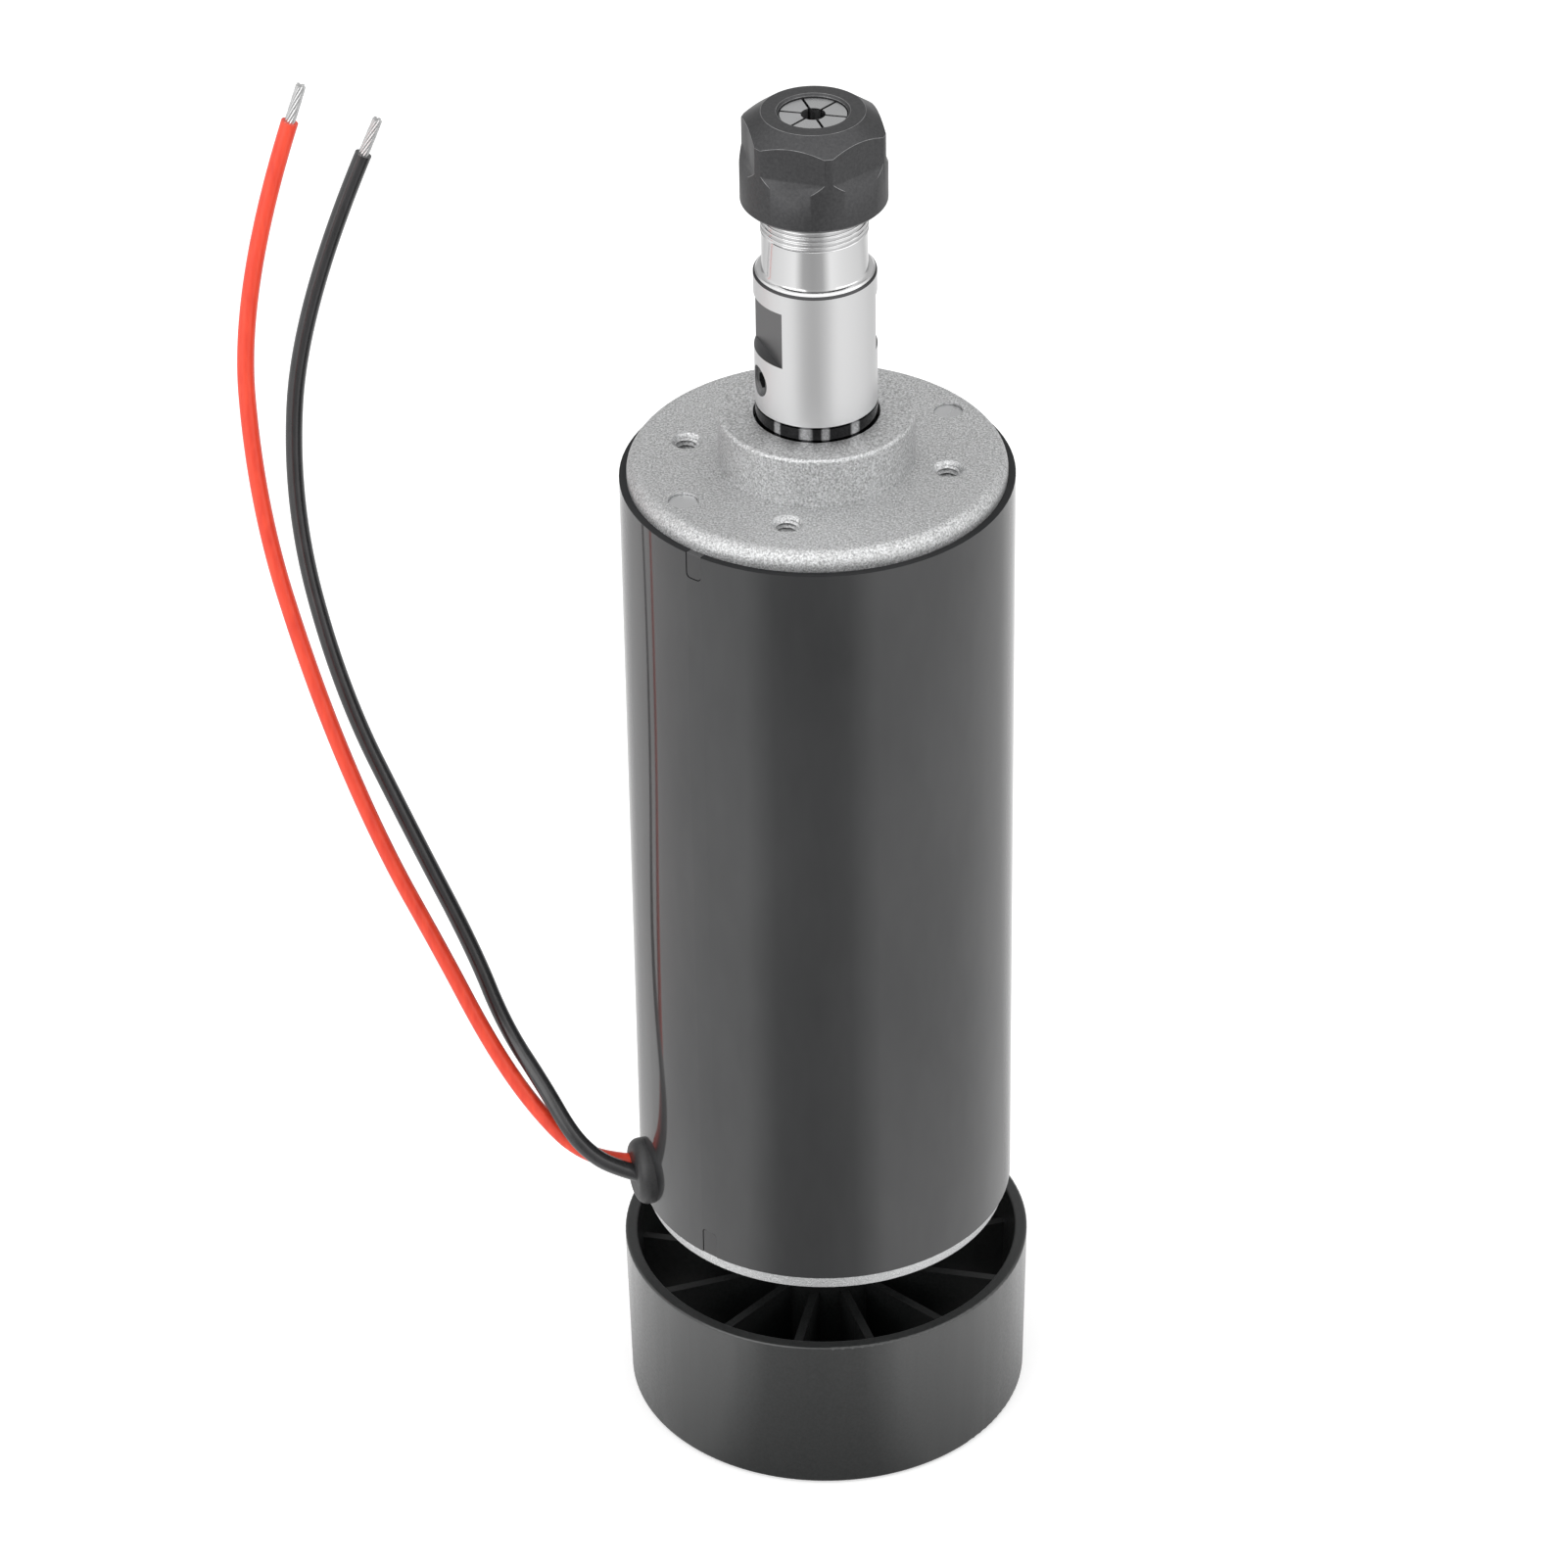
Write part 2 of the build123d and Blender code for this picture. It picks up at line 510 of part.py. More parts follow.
def cage(bearing, foot):
    """Ball cage: a ring with a round pocket for each ball."""
    pitch, _, _ = bearing_sizes(bearing)
    middle = foot + bearing["width"] / 2
    half = bearing["ball"] + CAGE_RIM
    ring = tube(pitch + CAGE_THICKNESS / 2, pitch - CAGE_THICKNESS / 2, middle - half, middle + half)
    pocket = along_x(bearing["ball"] + POCKET_PLAY, pitch - CAGE_THICKNESS, pitch + CAGE_THICKNESS, middle)
    return ring - around(bearing["balls"], 0, pocket)


def bearing_washer():
    """Preload washer under the rear bearing's outer ring."""
    outer = REAR_BEARING["outer"] - WASHER_PLAY
    return tube(outer, outer - WASHER_WIDTH, REAR_BEARING_FOOT - WASHER_THICKNESS, REAR_BEARING_FOOT)


# ------------------------------------------------------------------ rotor
def shaft():
    """Stepped shaft: fan seat and rear bearing, armature, front bearing and chuck seat."""
    rear = REAR_BEARING["bore"]
    front = FRONT_BEARING["bore"]
    return turned((0, SHAFT_REAR_END), (rear - SHAFT_REAR_CHAMFER, SHAFT_REAR_END),
                  (rear, SHAFT_REAR_END + SHAFT_REAR_CHAMFER), (rear, REAR_BEARING_TOP),
                  (CORE_SHAFT_RADIUS, REAR_BEARING_TOP), (CORE_SHAFT_RADIUS, FRONT_BEARING_FOOT),
                  (front, FRONT_BEARING_FOOT), (front, SHAFT_TOP - SHAFT_FRONT_CHAMFER),
                  (front - SHAFT_FRONT_CHAMFER, SHAFT_TOP), (0, SHAFT_TOP))


def lamination(radius, foot, top):
    """Slotted disc or stack: the armature's tooth profile between two heights."""
    stack = tube(radius, CORE_SHAFT_RADIUS, foot, top)
    slot = Pos(SLOT_CIRCLE_RADIUS, 0, 0) * rod(SLOT_RADIUS, foot - OVERRUN, top + OVERRUN)
    half = SLOT_MOUTH / 2
    slot += block(SLOT_CIRCLE_RADIUS, radius + OVERRUN, -half, half, foot - OVERRUN, top + OVERRUN)
    return stack - around(CORE_SLOTS, 0, slot)


def armature_insulators():
    radius = CORE_RADIUS - INSULATOR_INSET
    foot = lamination(radius, CORE_FOOT - INSULATOR_THICKNESS, CORE_FOOT)
    top = lamination(radius, CORE_TOP, CORE_TOP + INSULATOR_THICKNESS)
    return Compound(children=[foot.solids()[0], top.solids()[0]])


def windings():
    """Coil sides in the slots, joined by the bound end turns at both ends of the core."""
    low = CORE_FOOT - INSULATOR_THICKNESS
    high = CORE_TOP + INSULATOR_THICKNESS
    side = Pos(SLOT_CIRCLE_RADIUS, 0, 0) * rod(SLOT_RADIUS - WIRE_CLEARANCE, low - OVERRUN, high + OVERRUN)
    bulge = END_TURN_HEIGHT
    low_turns = tube(END_TURN_OUTER_RADIUS, END_TURN_INNER_RADIUS, low - bulge, low)
    high_turns = tube(END_TURN_OUTER_RADIUS, END_TURN_INNER_RADIUS, high, high + bulge)
    low_turns = fillet(low_turns.edges().group_by(Axis.Z)[0], bulge * END_TURN_ROUND_SHARE)
    high_turns = fillet(high_turns.edges().group_by(Axis.Z)[-1], bulge * END_TURN_ROUND_SHARE)
    return low_turns + high_turns + around(CORE_SLOTS, 0, side)


def commutator_hub():
    return tube(COMMUTATOR_RADIUS - SEGMENT_THICKNESS, CORE_SHAFT_RADIUS, COMMUTATOR_FOOT, COMMUTATOR_TOP)


def commutator_segments():
    """Copper bars with risers at the coil end."""
    inner = COMMUTATOR_RADIUS - SEGMENT_THICKNESS
    foot = COMMUTATOR_FOOT + SEGMENT_END_MARGIN
    bars = tube(COMMUTATOR_RADIUS, inner, foot, COMMUTATOR_TOP)
    riser = COMMUTATOR_RADIUS + RISER_REACH
    bars += tube(riser, inner, COMMUTATOR_TOP - RISER_HEIGHT, COMMUTATOR_TOP)
    half = SEGMENT_GAP / 2
    bars -= around(CORE_SLOTS, 0, block(inner - OVERRUN, riser + OVERRUN, -half, half, LOW, HIGH))
    return Compound(children=list(bars.solids()))


def front_spacer():
    """Sleeve between the armature and the front bearing, with an oil-throwing flange."""
    foot = CORE_TOP + INSULATOR_THICKNESS
    sleeve = tube(END_TURN_INNER_RADIUS - SPACER_TO_COIL, CORE_SHAFT_RADIUS, foot, FRONT_BEARING_FOOT)
    slinger_top = FRONT_BEARING_FOOT - SLINGER_DROP
    flange = tube(SLINGER_RADIUS, CORE_SHAFT_RADIUS, slinger_top - SLINGER_THICKNESS, slinger_top)
    return sleeve + flange


def rear_spacer():
    return tube(CORE_SHAFT_RADIUS + SPACER_WALL, CORE_SHAFT_RADIUS, REAR_BEARING_TOP, COMMUTATOR_FOOT)


def shaft_collar():
    """Black dust collar between the front bearing's inner ring and the chuck."""
    step_radius = bearing_sizes(FRONT_BEARING)[1]
    step_top = FRONT_BEARING_TOP + COLLAR_STEP
    return turned((FRONT_BEARING["bore"], FRONT_BEARING_TOP), (step_radius, FRONT_BEARING_TOP),
                  (step_radius, step_top), (COLLAR_RADIUS, step_top), (COLLAR_RADIUS, CHUCK_FOOT),
                  (FRONT_BEARING["bore"], CHUCK_FOOT))


# ------------------------------------------------------------------ brush gear
def brush_plate():
    """Insulating board on the rear plate's collar, cut out for the bolts and the leads."""
    board = tube(SPIGOT_RADIUS, COMMUTATOR_RADIUS + BRUSH_PLATE_BORE_GAP, BRUSH_PLATE_FOOT, BRUSH_PLATE_TOP)
    notch_half = (LEAD_SPACING + LEAD_DIAMETER) / 2 + LEAD_NOTCH_MARGIN
    notch = block(SPIGOT_RADIUS - LEAD_NOTCH_DEPTH, CAN_RADIUS, -notch_half, notch_half, LOW, HIGH)
    board -= at(GROMMET_AZIMUTH, notch)
    return board - tie_holes(TIE_BOLT_RADIUS + BOARD_TIE_HOLE_PLAY)


def brush_holders():
    """Two folded brass boxes, each with a closed outer end that backs the spring."""
    half = BRUSH_WIDTH / 2 + SLIP_FIT
    top = BRUSH_FOOT + BRUSH_HEIGHT + SLIP_FIT
    roof = top + HOLDER_WALL
    side = half + HOLDER_WALL
    back = HOLDER_END - HOLDER_WALL
    shell = block(HOLDER_START, HOLDER_END, -side, side, HOLDER_FOOT, roof)
    shell -= block(HOLDER_START - OVERRUN, back, -half, half, BRUSH_FOOT - SLIP_FIT, top)
    slot_half = PIGTAIL_SLOT_WIDTH / 2
    pigtail_slot = block(HOLDER_START + PIGTAIL_SLOT_START, back, -slot_half, slot_half,
                         top - OVERRUN, roof + OVERRUN)
    holder = shell - pigtail_slot
    return Compound(children=[copy.solids()[0] for copy in around(2, MAGNET_AZIMUTH, holder)])


def brush():
    """Carbon block along +X with its end curved to the commutator."""
    half = BRUSH_WIDTH / 2
    start = BRUSH_FACE_RADIUS
    carbon = block(start - half, start + BRUSH_LENGTH, -half, half, BRUSH_FOOT, BRUSH_FOOT + BRUSH_HEIGHT)
    return carbon - rod(start, LOW, HIGH)


def brush_springs():
    """Two coil springs between the brushes and the closed ends of their boxes."""
    start = BRUSH_FACE_RADIUS + BRUSH_LENGTH + BRUSH_LIFT + BRUSH_SPRING_GAP + SPRING_WIRE / 2
    end = HOLDER_END - HOLDER_WALL - SPRING_WIRE / 2
    height = end - start
    line = Helix(height / SPRING_TURNS, height, SPRING_RADIUS)
    wire = sweep(Plane(origin=line @ 0, z_dir=line % 0) * Circle(SPRING_WIRE / 2), path=line)
    middle = BRUSH_FOOT + BRUSH_HEIGHT / 2
    spring = Pos(start, 0, middle) * Rot(0, 90, 0) * wire
    return Compound(children=[copy.solids()[0] for copy in around(2, MAGNET_AZIMUTH, spring)])


# ------------------------------------------------------------------ chuck, nut and collet
def grub_hole(radius, start):
    return along_x(radius, start, CHUCK_RADIUS + OVERRUN, CHUCK_FOOT + GRUB_HEIGHT)


def collet_chuck():
    """Chuck that is screwed to the shaft: body, neck, threaded nose and tapered seat."""
    seat_top = seat_radius(NOSE_TOP)
    seat_foot = seat_radius(COLLET_FOOT)
    body = turned((FRONT_BEARING["bore"], CHUCK_FOOT), (CHUCK_RADIUS - CHUCK_FOOT_EDGE, CHUCK_FOOT),
                  (CHUCK_RADIUS, CHUCK_FOOT + CHUCK_FOOT_EDGE), (CHUCK_RADIUS, SHOULDER - CHUCK_EDGE),
                  (CHUCK_RADIUS - CHUCK_EDGE, SHOULDER), (NECK_RADIUS + NECK_ROOT, SHOULDER),
                  (NECK_RADIUS, SHOULDER + NECK_ROOT), (NECK_RADIUS, THREAD_START),
                  (THREAD_RADIUS, THREAD_START + THREAD_RADIUS - NECK_RADIUS),
                  (THREAD_RADIUS, NOSE_TOP - NOSE_EDGE),
                  (THREAD_RADIUS - NOSE_EDGE, NOSE_TOP), (seat_top, NOSE_TOP),
                  (seat_foot, COLLET_FOOT), (seat_foot, COLLET_FOOT - SEAT_RELIEF_DEPTH),
                  (FRONT_BEARING["bore"], SHAFT_TOP + SHAFT_END_ROOM))
    flat_foot = CHUCK_FOOT + FLAT_FOOT
    flat = block(FLAT_DISTANCE, CHUCK_RADIUS + OVERRUN, -CHUCK_RADIUS, CHUCK_RADIUS,
                 flat_foot, flat_foot + FLAT_HEIGHT)
    body -= around(2, FLAT_AZIMUTH, flat)
    return body - around(2, FLAT_AZIMUTH, grub_hole(GRUB_RADIUS, FRONT_BEARING["bore"] - OVERRUN / 2))


def seat_radius(height):
    """Radius of the chuck's tapered seat, a running fit outside the collet's taper."""
    return collet_radius(height) + RUNNING_FIT / math.cos(math.radians(COLLET_TAPER))


def collet_radius(height):
    return COLLET_BODY_RADIUS - (groove_foot() - height) * math.tan(math.radians(COLLET_TAPER))


def head_foot():
    """Height where the collet's front cone reaches its widest radius."""
    cone = (COLLET_HEAD_RADIUS - COLLET_FACE_RADIUS) / math.tan(math.radians(COLLET_HEAD_CONE))
    return COLLET_FACE - COLLET_FACE_BAND - cone


def groove_foot():
    return head_foot() - COLLET_HEAD_BAND - COLLET_GROOVE_WIDTH


def chuck_set_screws():
    start = FRONT_BEARING["bore"]
    face = CHUCK_RADIUS - GRUB_SUNK
    screw = grub_hole(GRUB_RADIUS, start)
    screw -= block(face, CHUCK_RADIUS + 2 * OVERRUN, -CHUCK_RADIUS, CHUCK_RADIUS, LOW, HIGH)
    socket = extrude(RegularPolygon(GRUB_SOCKET, 6), GRUB_SOCKET_DEPTH + OVERRUN)
    socket = Pos(face - GRUB_SOCKET_DEPTH, 0, CHUCK_FOOT + GRUB_HEIGHT) * Rot(0, 90, 0) * socket
    screw -= socket
    screw -= rod(start, LOW, HIGH)
    return Compound(children=[copy.solids()[0] for copy in around(2, FLAT_AZIMUTH, screw)])


def collet():
    """Spring collet with two opposed tapers, an extraction groove and slots from both ends."""
    neck_top = head_foot() - COLLET_HEAD_BAND
    body = turned((COLLET_BORE_RADIUS, COLLET_FOOT), (collet_radius(COLLET_FOOT), COLLET_FOOT),
                  (COLLET_BODY_RADIUS, groove_foot()), (COLLET_GROOVE_RADIUS, groove_foot()),
                  (COLLET_GROOVE_RADIUS, neck_top), (COLLET_HEAD_RADIUS, neck_top),
                  (COLLET_HEAD_RADIUS, head_foot()), (COLLET_FACE_RADIUS, COLLET_FACE - COLLET_FACE_BAND),
                  (COLLET_FACE_RADIUS, COLLET_FACE), (COLLET_BORE_RADIUS, COLLET_FACE))
    half = COLLET_SLOT_WIDTH / 2
    front = block(0, COLLET_HEAD_RADIUS + OVERRUN, -half, half, COLLET_FOOT + COLLET_WEB, HIGH)
    back = block(0, COLLET_HEAD_RADIUS + OVERRUN, -half, half, LOW, COLLET_FACE - COLLET_WEB)
    body -= around(COLLET_SLOTS, COLLET_SLOT_AZIMUTH, front)
    return body - around(COLLET_SLOTS, COLLET_SLOT_AZIMUTH + 180 / COLLET_SLOTS, back)


def collet_nut():
    """Clamping nut: hexagon above a round skirt, each flat ending in a sloping facet."""
    blank = turned((0, NUT_FOOT), (NUT_RADIUS - NUT_FOOT_EDGE, NUT_FOOT),
                   (NUT_RADIUS, NUT_FOOT + NUT_FOOT_EDGE),
                   (NUT_RADIUS, NUT_TOP - NUT_CHAMFER_DROP), (NUT_FACE_RADIUS, NUT_TOP), (0, NUT_TOP))
    across = NUT_FLATS / 2
    flat_foot = NUT_TOP - NUT_FLAT_LENGTH
    far = NUT_RADIUS + OVERRUN
    above = NUT_TOP + OVERRUN
    slope = NUT_FACET_DROP / (NUT_RADIUS - across)
    side = Plane.XZ * make_face(Polyline((across, flat_foot), (across, above), (far, above),
                                         (far, flat_foot - slope * (far - across)), close=True))
    blank -= around(6, NUT_CORNER_AZIMUTH + 30, extrude(side, NUT_RADIUS, both=True))
    thread = THREAD_RADIUS + RUNNING_FIT
    relief_top = NOSE_TOP + THREAD_RELIEF
    cavity = COLLET_HEAD_RADIUS + THREAD_RELIEF
    below = NUT_FOOT - OVERRUN
    bore = turned((0, below), (thread, below), (thread, relief_top), (cavity, relief_top),
                  (cavity, nut_cone_height(cavity)), (NUT_MOUTH_RADIUS, nut_cone_height(NUT_MOUTH_RADIUS)),
                  (NUT_MOUTH_RADIUS, NUT_TOP - NUT_MOUTH_CHAMFER),
                  (NUT_MOUTH_RADIUS + NUT_MOUTH_CHAMFER, NUT_TOP), (NUT_MOUTH_RADIUS, above), (0, above))
    return blank - bore


def nut_cone_height(radius):
    """Height of the nut's inner cone at a radius, a running fit above the collet's front cone."""
    cone = math.radians(COLLET_HEAD_CONE)
    cone_top = COLLET_FACE - COLLET_FACE_BAND
    return cone_top - (radius - COLLET_FACE_RADIUS) / math.tan(cone) + RUNNING_FIT / math.sin(cone)


# ------------------------------------------------------------------ grommet and leads
def lead_exits():
    """Where the red and the black lead leave the grommet, in its own frame, and the way each one points.

    In that frame +X runs out of the can, +Y along its wall and Z is the real height.
    """
    face = CAN_RADIUS + GROMMET_REACH
    height = GROMMET_HEIGHT + LEAD_EXIT_RISE
    red = (Vector(face, LEAD_EXIT_SHIFT - LEAD_SPACING / 2, height), slant(RED_EXIT_SIDE, RED_EXIT_UP))
    black = (Vector(face, LEAD_EXIT_SHIFT + LEAD_SPACING / 2, height - BLACK_EXIT_DROP),
             slant(BLACK_EXIT_SIDE, BLACK_EXIT_UP))
    return red, black


def slant(side, up):
    """Direction turned sideways and upwards from +X, in degrees."""
    side, up = math.radians(side), math.radians(up)
    return Vector(math.cos(side) * math.cos(up), math.sin(side) * math.cos(up), math.sin(up))


def grommet():
    """Rubber grommet in the can wall, domed outside and flanged inside, with two slanting lead holes."""
    outer = along_x(GROMMET_RADIUS, CAN_BORE, CAN_RADIUS + GROMMET_REACH, GROMMET_HEIGHT)
    face_edge = outer.edges().filter_by(GeomType.CIRCLE).sort_by(Axis.X)[-1]
    outer = fillet(face_edge, GROMMET_ROUND) - rod(CAN_RADIUS, LOW, HIGH)
    neck = along_x(GROMMET_NECK_RADIUS, CAN_BORE - GROMMET_INNER_DEPTH, CAN_RADIUS + OVERRUN, GROMMET_HEIGHT)
    inner = along_x(GROMMET_INNER_RADIUS, CAN_BORE - GROMMET_INNER_DEPTH, CAN_RADIUS, GROMMET_HEIGHT)
    inner = inner & rod(CAN_BORE, LOW, HIGH)
    body = outer + neck + inner
    for start, direction in lead_exits():
        length = CAN_WALL + GROMMET_REACH + GROMMET_INNER_DEPTH + LEAD_DIAMETER
        hole = Cylinder(LEAD_DIAMETER / 2, 2 * length)
        body -= Plane(origin=start, z_dir=direction) * hole
    return at(GROMMET_AZIMUTH, body)


def rounded_path(points):
    """Straight runs joined by the largest tangent arcs that both runs of a corner allow."""
    corners = [Vector(*point) for point in points]
    radii = []
    for before, corner, after in zip(corners, corners[1:], corners[2:]):
        turn = (corner - before).get_angle(after - corner)
        shorter = min((corner - before).length, (after - corner).length)
        radii.append(ARC_SHARE * shorter / math.tan(math.radians(turn / 2)))
    return FilletPolyline(*corners, radius=radii), radii


def lead(name, points):
    """Insulated lead along its route, reporting its bends and comparing volume with length."""
    path, radii = rounded_path(points)
    section = Plane(origin=path @ 0, z_dir=path % 0) * Circle(LEAD_DIAMETER / 2)
    solid = sweep(section, path=path)
    ratio = solid.volume / (math.pi * (LEAD_DIAMETER / 2) ** 2 * path.length)
    print(name, "length", round(path.length, 1), "volume ratio", round(ratio, 4),
          "radii", [round(radius, 1) for radius in radii])
    return solid


def lead_tip(points):
    """Tinned bare strands on from the end of a lead."""
    end = Vector(*points[-1])
    direction = (end - Vector(*points[-2])).normalized()
    return extrude(Plane(origin=end, z_dir=direction) * Circle(TIP_DIAMETER / 2), TIP_LENGTH)


def inner_lead(lead_exit, corners):
    """Lead inside the can, from the grommet's outer face to its brush box."""
    start, direction = lead_exit
    inside = start - direction * ((start.X - CAN_BORE + LEAD_ENTRY_DEPTH) / direction.X)
    turn = math.radians(GROMMET_AZIMUTH - 90)
    points = [(point.X * math.cos(turn) - point.Y * math.sin(turn),
               point.X * math.sin(turn) + point.Y * math.cos(turn), point.Z) for point in (start, inside)]
    for radius, azimuth, height in corners:
        angle = math.radians(azimuth - 90)
        points.append((radius * math.cos(angle), radius * math.sin(angle), height))
    path = FilletPolyline(*points, radius=INNER_BEND_RADIUS)
    return sweep(Plane(origin=path @ 0, z_dir=path % 0) * Circle(LEAD_DIAMETER / 2), path=path)


def holder_side_angle(radius):
    """Angle from a brush's centre line to where a lead's end meets the side of its box."""
    side = BRUSH_WIDTH / 2 + SLIP_FIT + HOLDER_WALL + LEAD_DIAMETER * LEAD_END_STANDOFF
    return math.degrees(math.asin(side / radius))


def red_inner_lead():
    height = HOLDER_FOOT + INNER_LEAD_RISE
    radius = INNER_LEAD_RADIUS
    box = MAGNET_AZIMUTH - 180
    return inner_lead(lead_exits()[0],
                      [(radius + INNER_FIRST_CORNER_OUT, GROMMET_AZIMUTH - INNER_FIRST_CORNER_TURN, height),
                       (radius, GROMMET_AZIMUTH - RED_SECOND_CORNER_TURN, height),
                       (radius, box + holder_side_angle(radius), height)])


def black_inner_lead():
    height = HOLDER_FOOT + INNER_LEAD_RISE
    radius = INNER_LEAD_RADIUS
    box = MAGNET_AZIMUTH
    return inner_lead(lead_exits()[1],
                      [(radius + INNER_FIRST_CORNER_OUT, GROMMET_AZIMUTH + INNER_FIRST_CORNER_TURN, height),
                       (radius - BLACK_CORNERS_IN, TIE_BOLT_AZIMUTH, height),
                       (radius - BLACK_CORNERS_IN, TIE_BOLT_AZIMUTH + BLACK_THIRD_CORNER_TURN, height),
                       (radius, box - holder_side_angle(radius), height)])


# ------------------------------------------------------------------ all pieces
PIECES = {
    "motor_can": motor_can,
    "front_end_plate": front_end_plate,
    "rear_end_plate": rear_end_plate,
    "locating_keys": locating_keys,
    "tie_bolts": tie_bolts,
    "magnets": magnets,
    "magnet_clips": magnet_clips,
    "front_bearing_outer_ring": lambda: outer_race(FRONT_BEARING, FRONT_BEARING_FOOT),
    "rear_bearing_outer_ring": lambda: outer_race(REAR_BEARING, REAR_BEARING_FOOT),
    "preload_washer": bearing_washer,
    "brush_plate": brush_plate,
    "brush_holders": brush_holders,
    "brush_springs": brush_springs,
    "brush_a": lambda: at(MAGNET_AZIMUTH, brush()),
    "brush_b": lambda: at(MAGNET_AZIMUTH + 180, brush()),
    "lead_grommet": grommet,
    "red_inner_lead": red_inner_lead,
    "black_inner_lead": black_inner_lead,
    "red_lead": lambda: lead("red lead", RED_ROUTE),
    "black_lead": lambda: lead("black lead", BLACK_ROUTE),
    "red_lead_tip": lambda: lead_tip(RED_ROUTE),
    "black_lead_tip": lambda: lead_tip(BLACK_ROUTE),
    "shaft": shaft,
    "armature_core": lambda: lamination(CORE_RADIUS, CORE_FOOT, CORE_TOP),
    "armature_insulators": armature_insulators,
    "windings": windings,
    "commutator_hub": commutator_hub,
    "commutator_segments": commutator_segments,
    "front_spacer": front_spacer,
    "rear_spacer": rear_spacer,
    "front_bearing_inner_ring": lambda: inner_race(FRONT_BEARING, FRONT_BEARING_FOOT),
    "rear_bearing_inner_ring": lambda: inner_race(REAR_BEARING, REAR_BEARING_FOOT),
    "front_bearing_balls": lambda: balls(FRONT_BEARING, FRONT_BEARING_FOOT),
    "front_bearing_cage": lambda: cage(FRONT_BEARING, FRONT_BEARING_FOOT),
    "rear_bearing_balls": lambda: balls(REAR_BEARING, REAR_BEARING_FOOT),
    "rear_bearing_cage": lambda: cage(REAR_BEARING, REAR_BEARING_FOOT),
    "dust_collar": shaft_collar,
    "collet_chuck": collet_chuck,
    "chuck_set_screws": chuck_set_screws,
    "collet": collet,
    "collet_nut": collet_nut,
    "fan_wheel": fan_wheel,
    "fan_bushing": fan_bushing,
}

os.makedirs("parts", exist_ok=True)
for piece_name, make in PIECES.items():
    export_step(make(), f"parts/{piece_name}.step")
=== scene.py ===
"""Looks of the motor spindle: camera, light, leads, threads and the finish of every piece."""

import json
import math
import random

import bpy
from mathutils import Matrix, Vector


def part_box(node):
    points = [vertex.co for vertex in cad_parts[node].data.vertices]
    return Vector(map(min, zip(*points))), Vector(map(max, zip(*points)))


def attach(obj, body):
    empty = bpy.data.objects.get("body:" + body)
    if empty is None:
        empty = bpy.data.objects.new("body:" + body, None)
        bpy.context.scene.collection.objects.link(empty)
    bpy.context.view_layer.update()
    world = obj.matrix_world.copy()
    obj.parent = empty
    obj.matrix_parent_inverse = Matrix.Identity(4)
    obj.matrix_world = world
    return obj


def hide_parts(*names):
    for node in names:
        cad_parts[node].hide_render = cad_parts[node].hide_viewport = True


MM = 0.001

# ------------------------------------------------------------------ frame
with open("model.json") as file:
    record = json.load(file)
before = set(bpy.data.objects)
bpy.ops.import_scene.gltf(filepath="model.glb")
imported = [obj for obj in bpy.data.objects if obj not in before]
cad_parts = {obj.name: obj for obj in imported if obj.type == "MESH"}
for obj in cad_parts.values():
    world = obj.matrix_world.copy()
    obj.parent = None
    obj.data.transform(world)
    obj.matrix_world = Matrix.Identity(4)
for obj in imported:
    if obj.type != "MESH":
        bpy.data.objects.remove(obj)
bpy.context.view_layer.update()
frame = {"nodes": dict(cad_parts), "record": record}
nodes = frame["nodes"]
bpy.ops.object.select_all(action="DESELECT")


def top_of(node):
    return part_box(node)[1].z


def foot_of(node):
    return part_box(node)[0].z


# ------------------------------------------------------------------ sizes of the dressed pieces
LEAD_DIAMETER = 2.3 * MM
TIP_DIAMETER = 1.5 * MM
TIP_LENGTH = 5.4 * MM
STRANDS_ROUND = 9
STRAND_DIAMETER = 0.44 * MM
STRAND_LAY = 14 * MM
STRAND_STEPS = 12
# Shares: of the strands' length that differs, of their ring that closes in, and of the lead's
# diameter by which they start inside the insulation. The core is twice as thick as a strand.
STRAND_UNEVENNESS = 0.08
STRAND_TAPER = 0.12
STRAND_ROOT = 0.4
CORE_THICKNESS = 2
STRAND_SEED = 7

SCREW_CIRCLE_RADIUS = 17.5 * MM
SCREW_AZIMUTH = -13.0
SCREW_HOLE_RADIUS = 1.65 * MM
SCREW_MOUTH = 0.45 * MM
SCREW_PITCH = 0.7 * MM
SCREW_THREAD_DEPTH = 0.3 * MM
SCREW_LINING = 0.02 * MM
SCREW_SIDES = 40
PLATE_SPIGOT = 3.6 * MM
PLATE_THICKNESS = 2.55 * MM

CHUCK_RADIUS = 8.0 * MM
CHUCK_BORE = 4.0 * MM
CHUCK_LENGTH = 19.7 * MM
CHUCK_EDGE = 0.45 * MM
CHUCK_FOOT_EDGE = 0.3 * MM
NECK_RADIUS = 6.87 * MM
NECK_ROOT = 0.4 * MM
NECK_ROOT_BELLY = 0.3
CHUCK_SIDES = 128
NECK_LENGTH = 6.1 * MM
NOSE_RADIUS = 6.98 * MM
NOSE_EDGE = 0.5 * MM
NOSE_PITCH = 0.75 * MM
NOSE_THREAD_DEPTH = 0.4 * MM
NOSE_THREAD_LOWER = 0.45 * MM
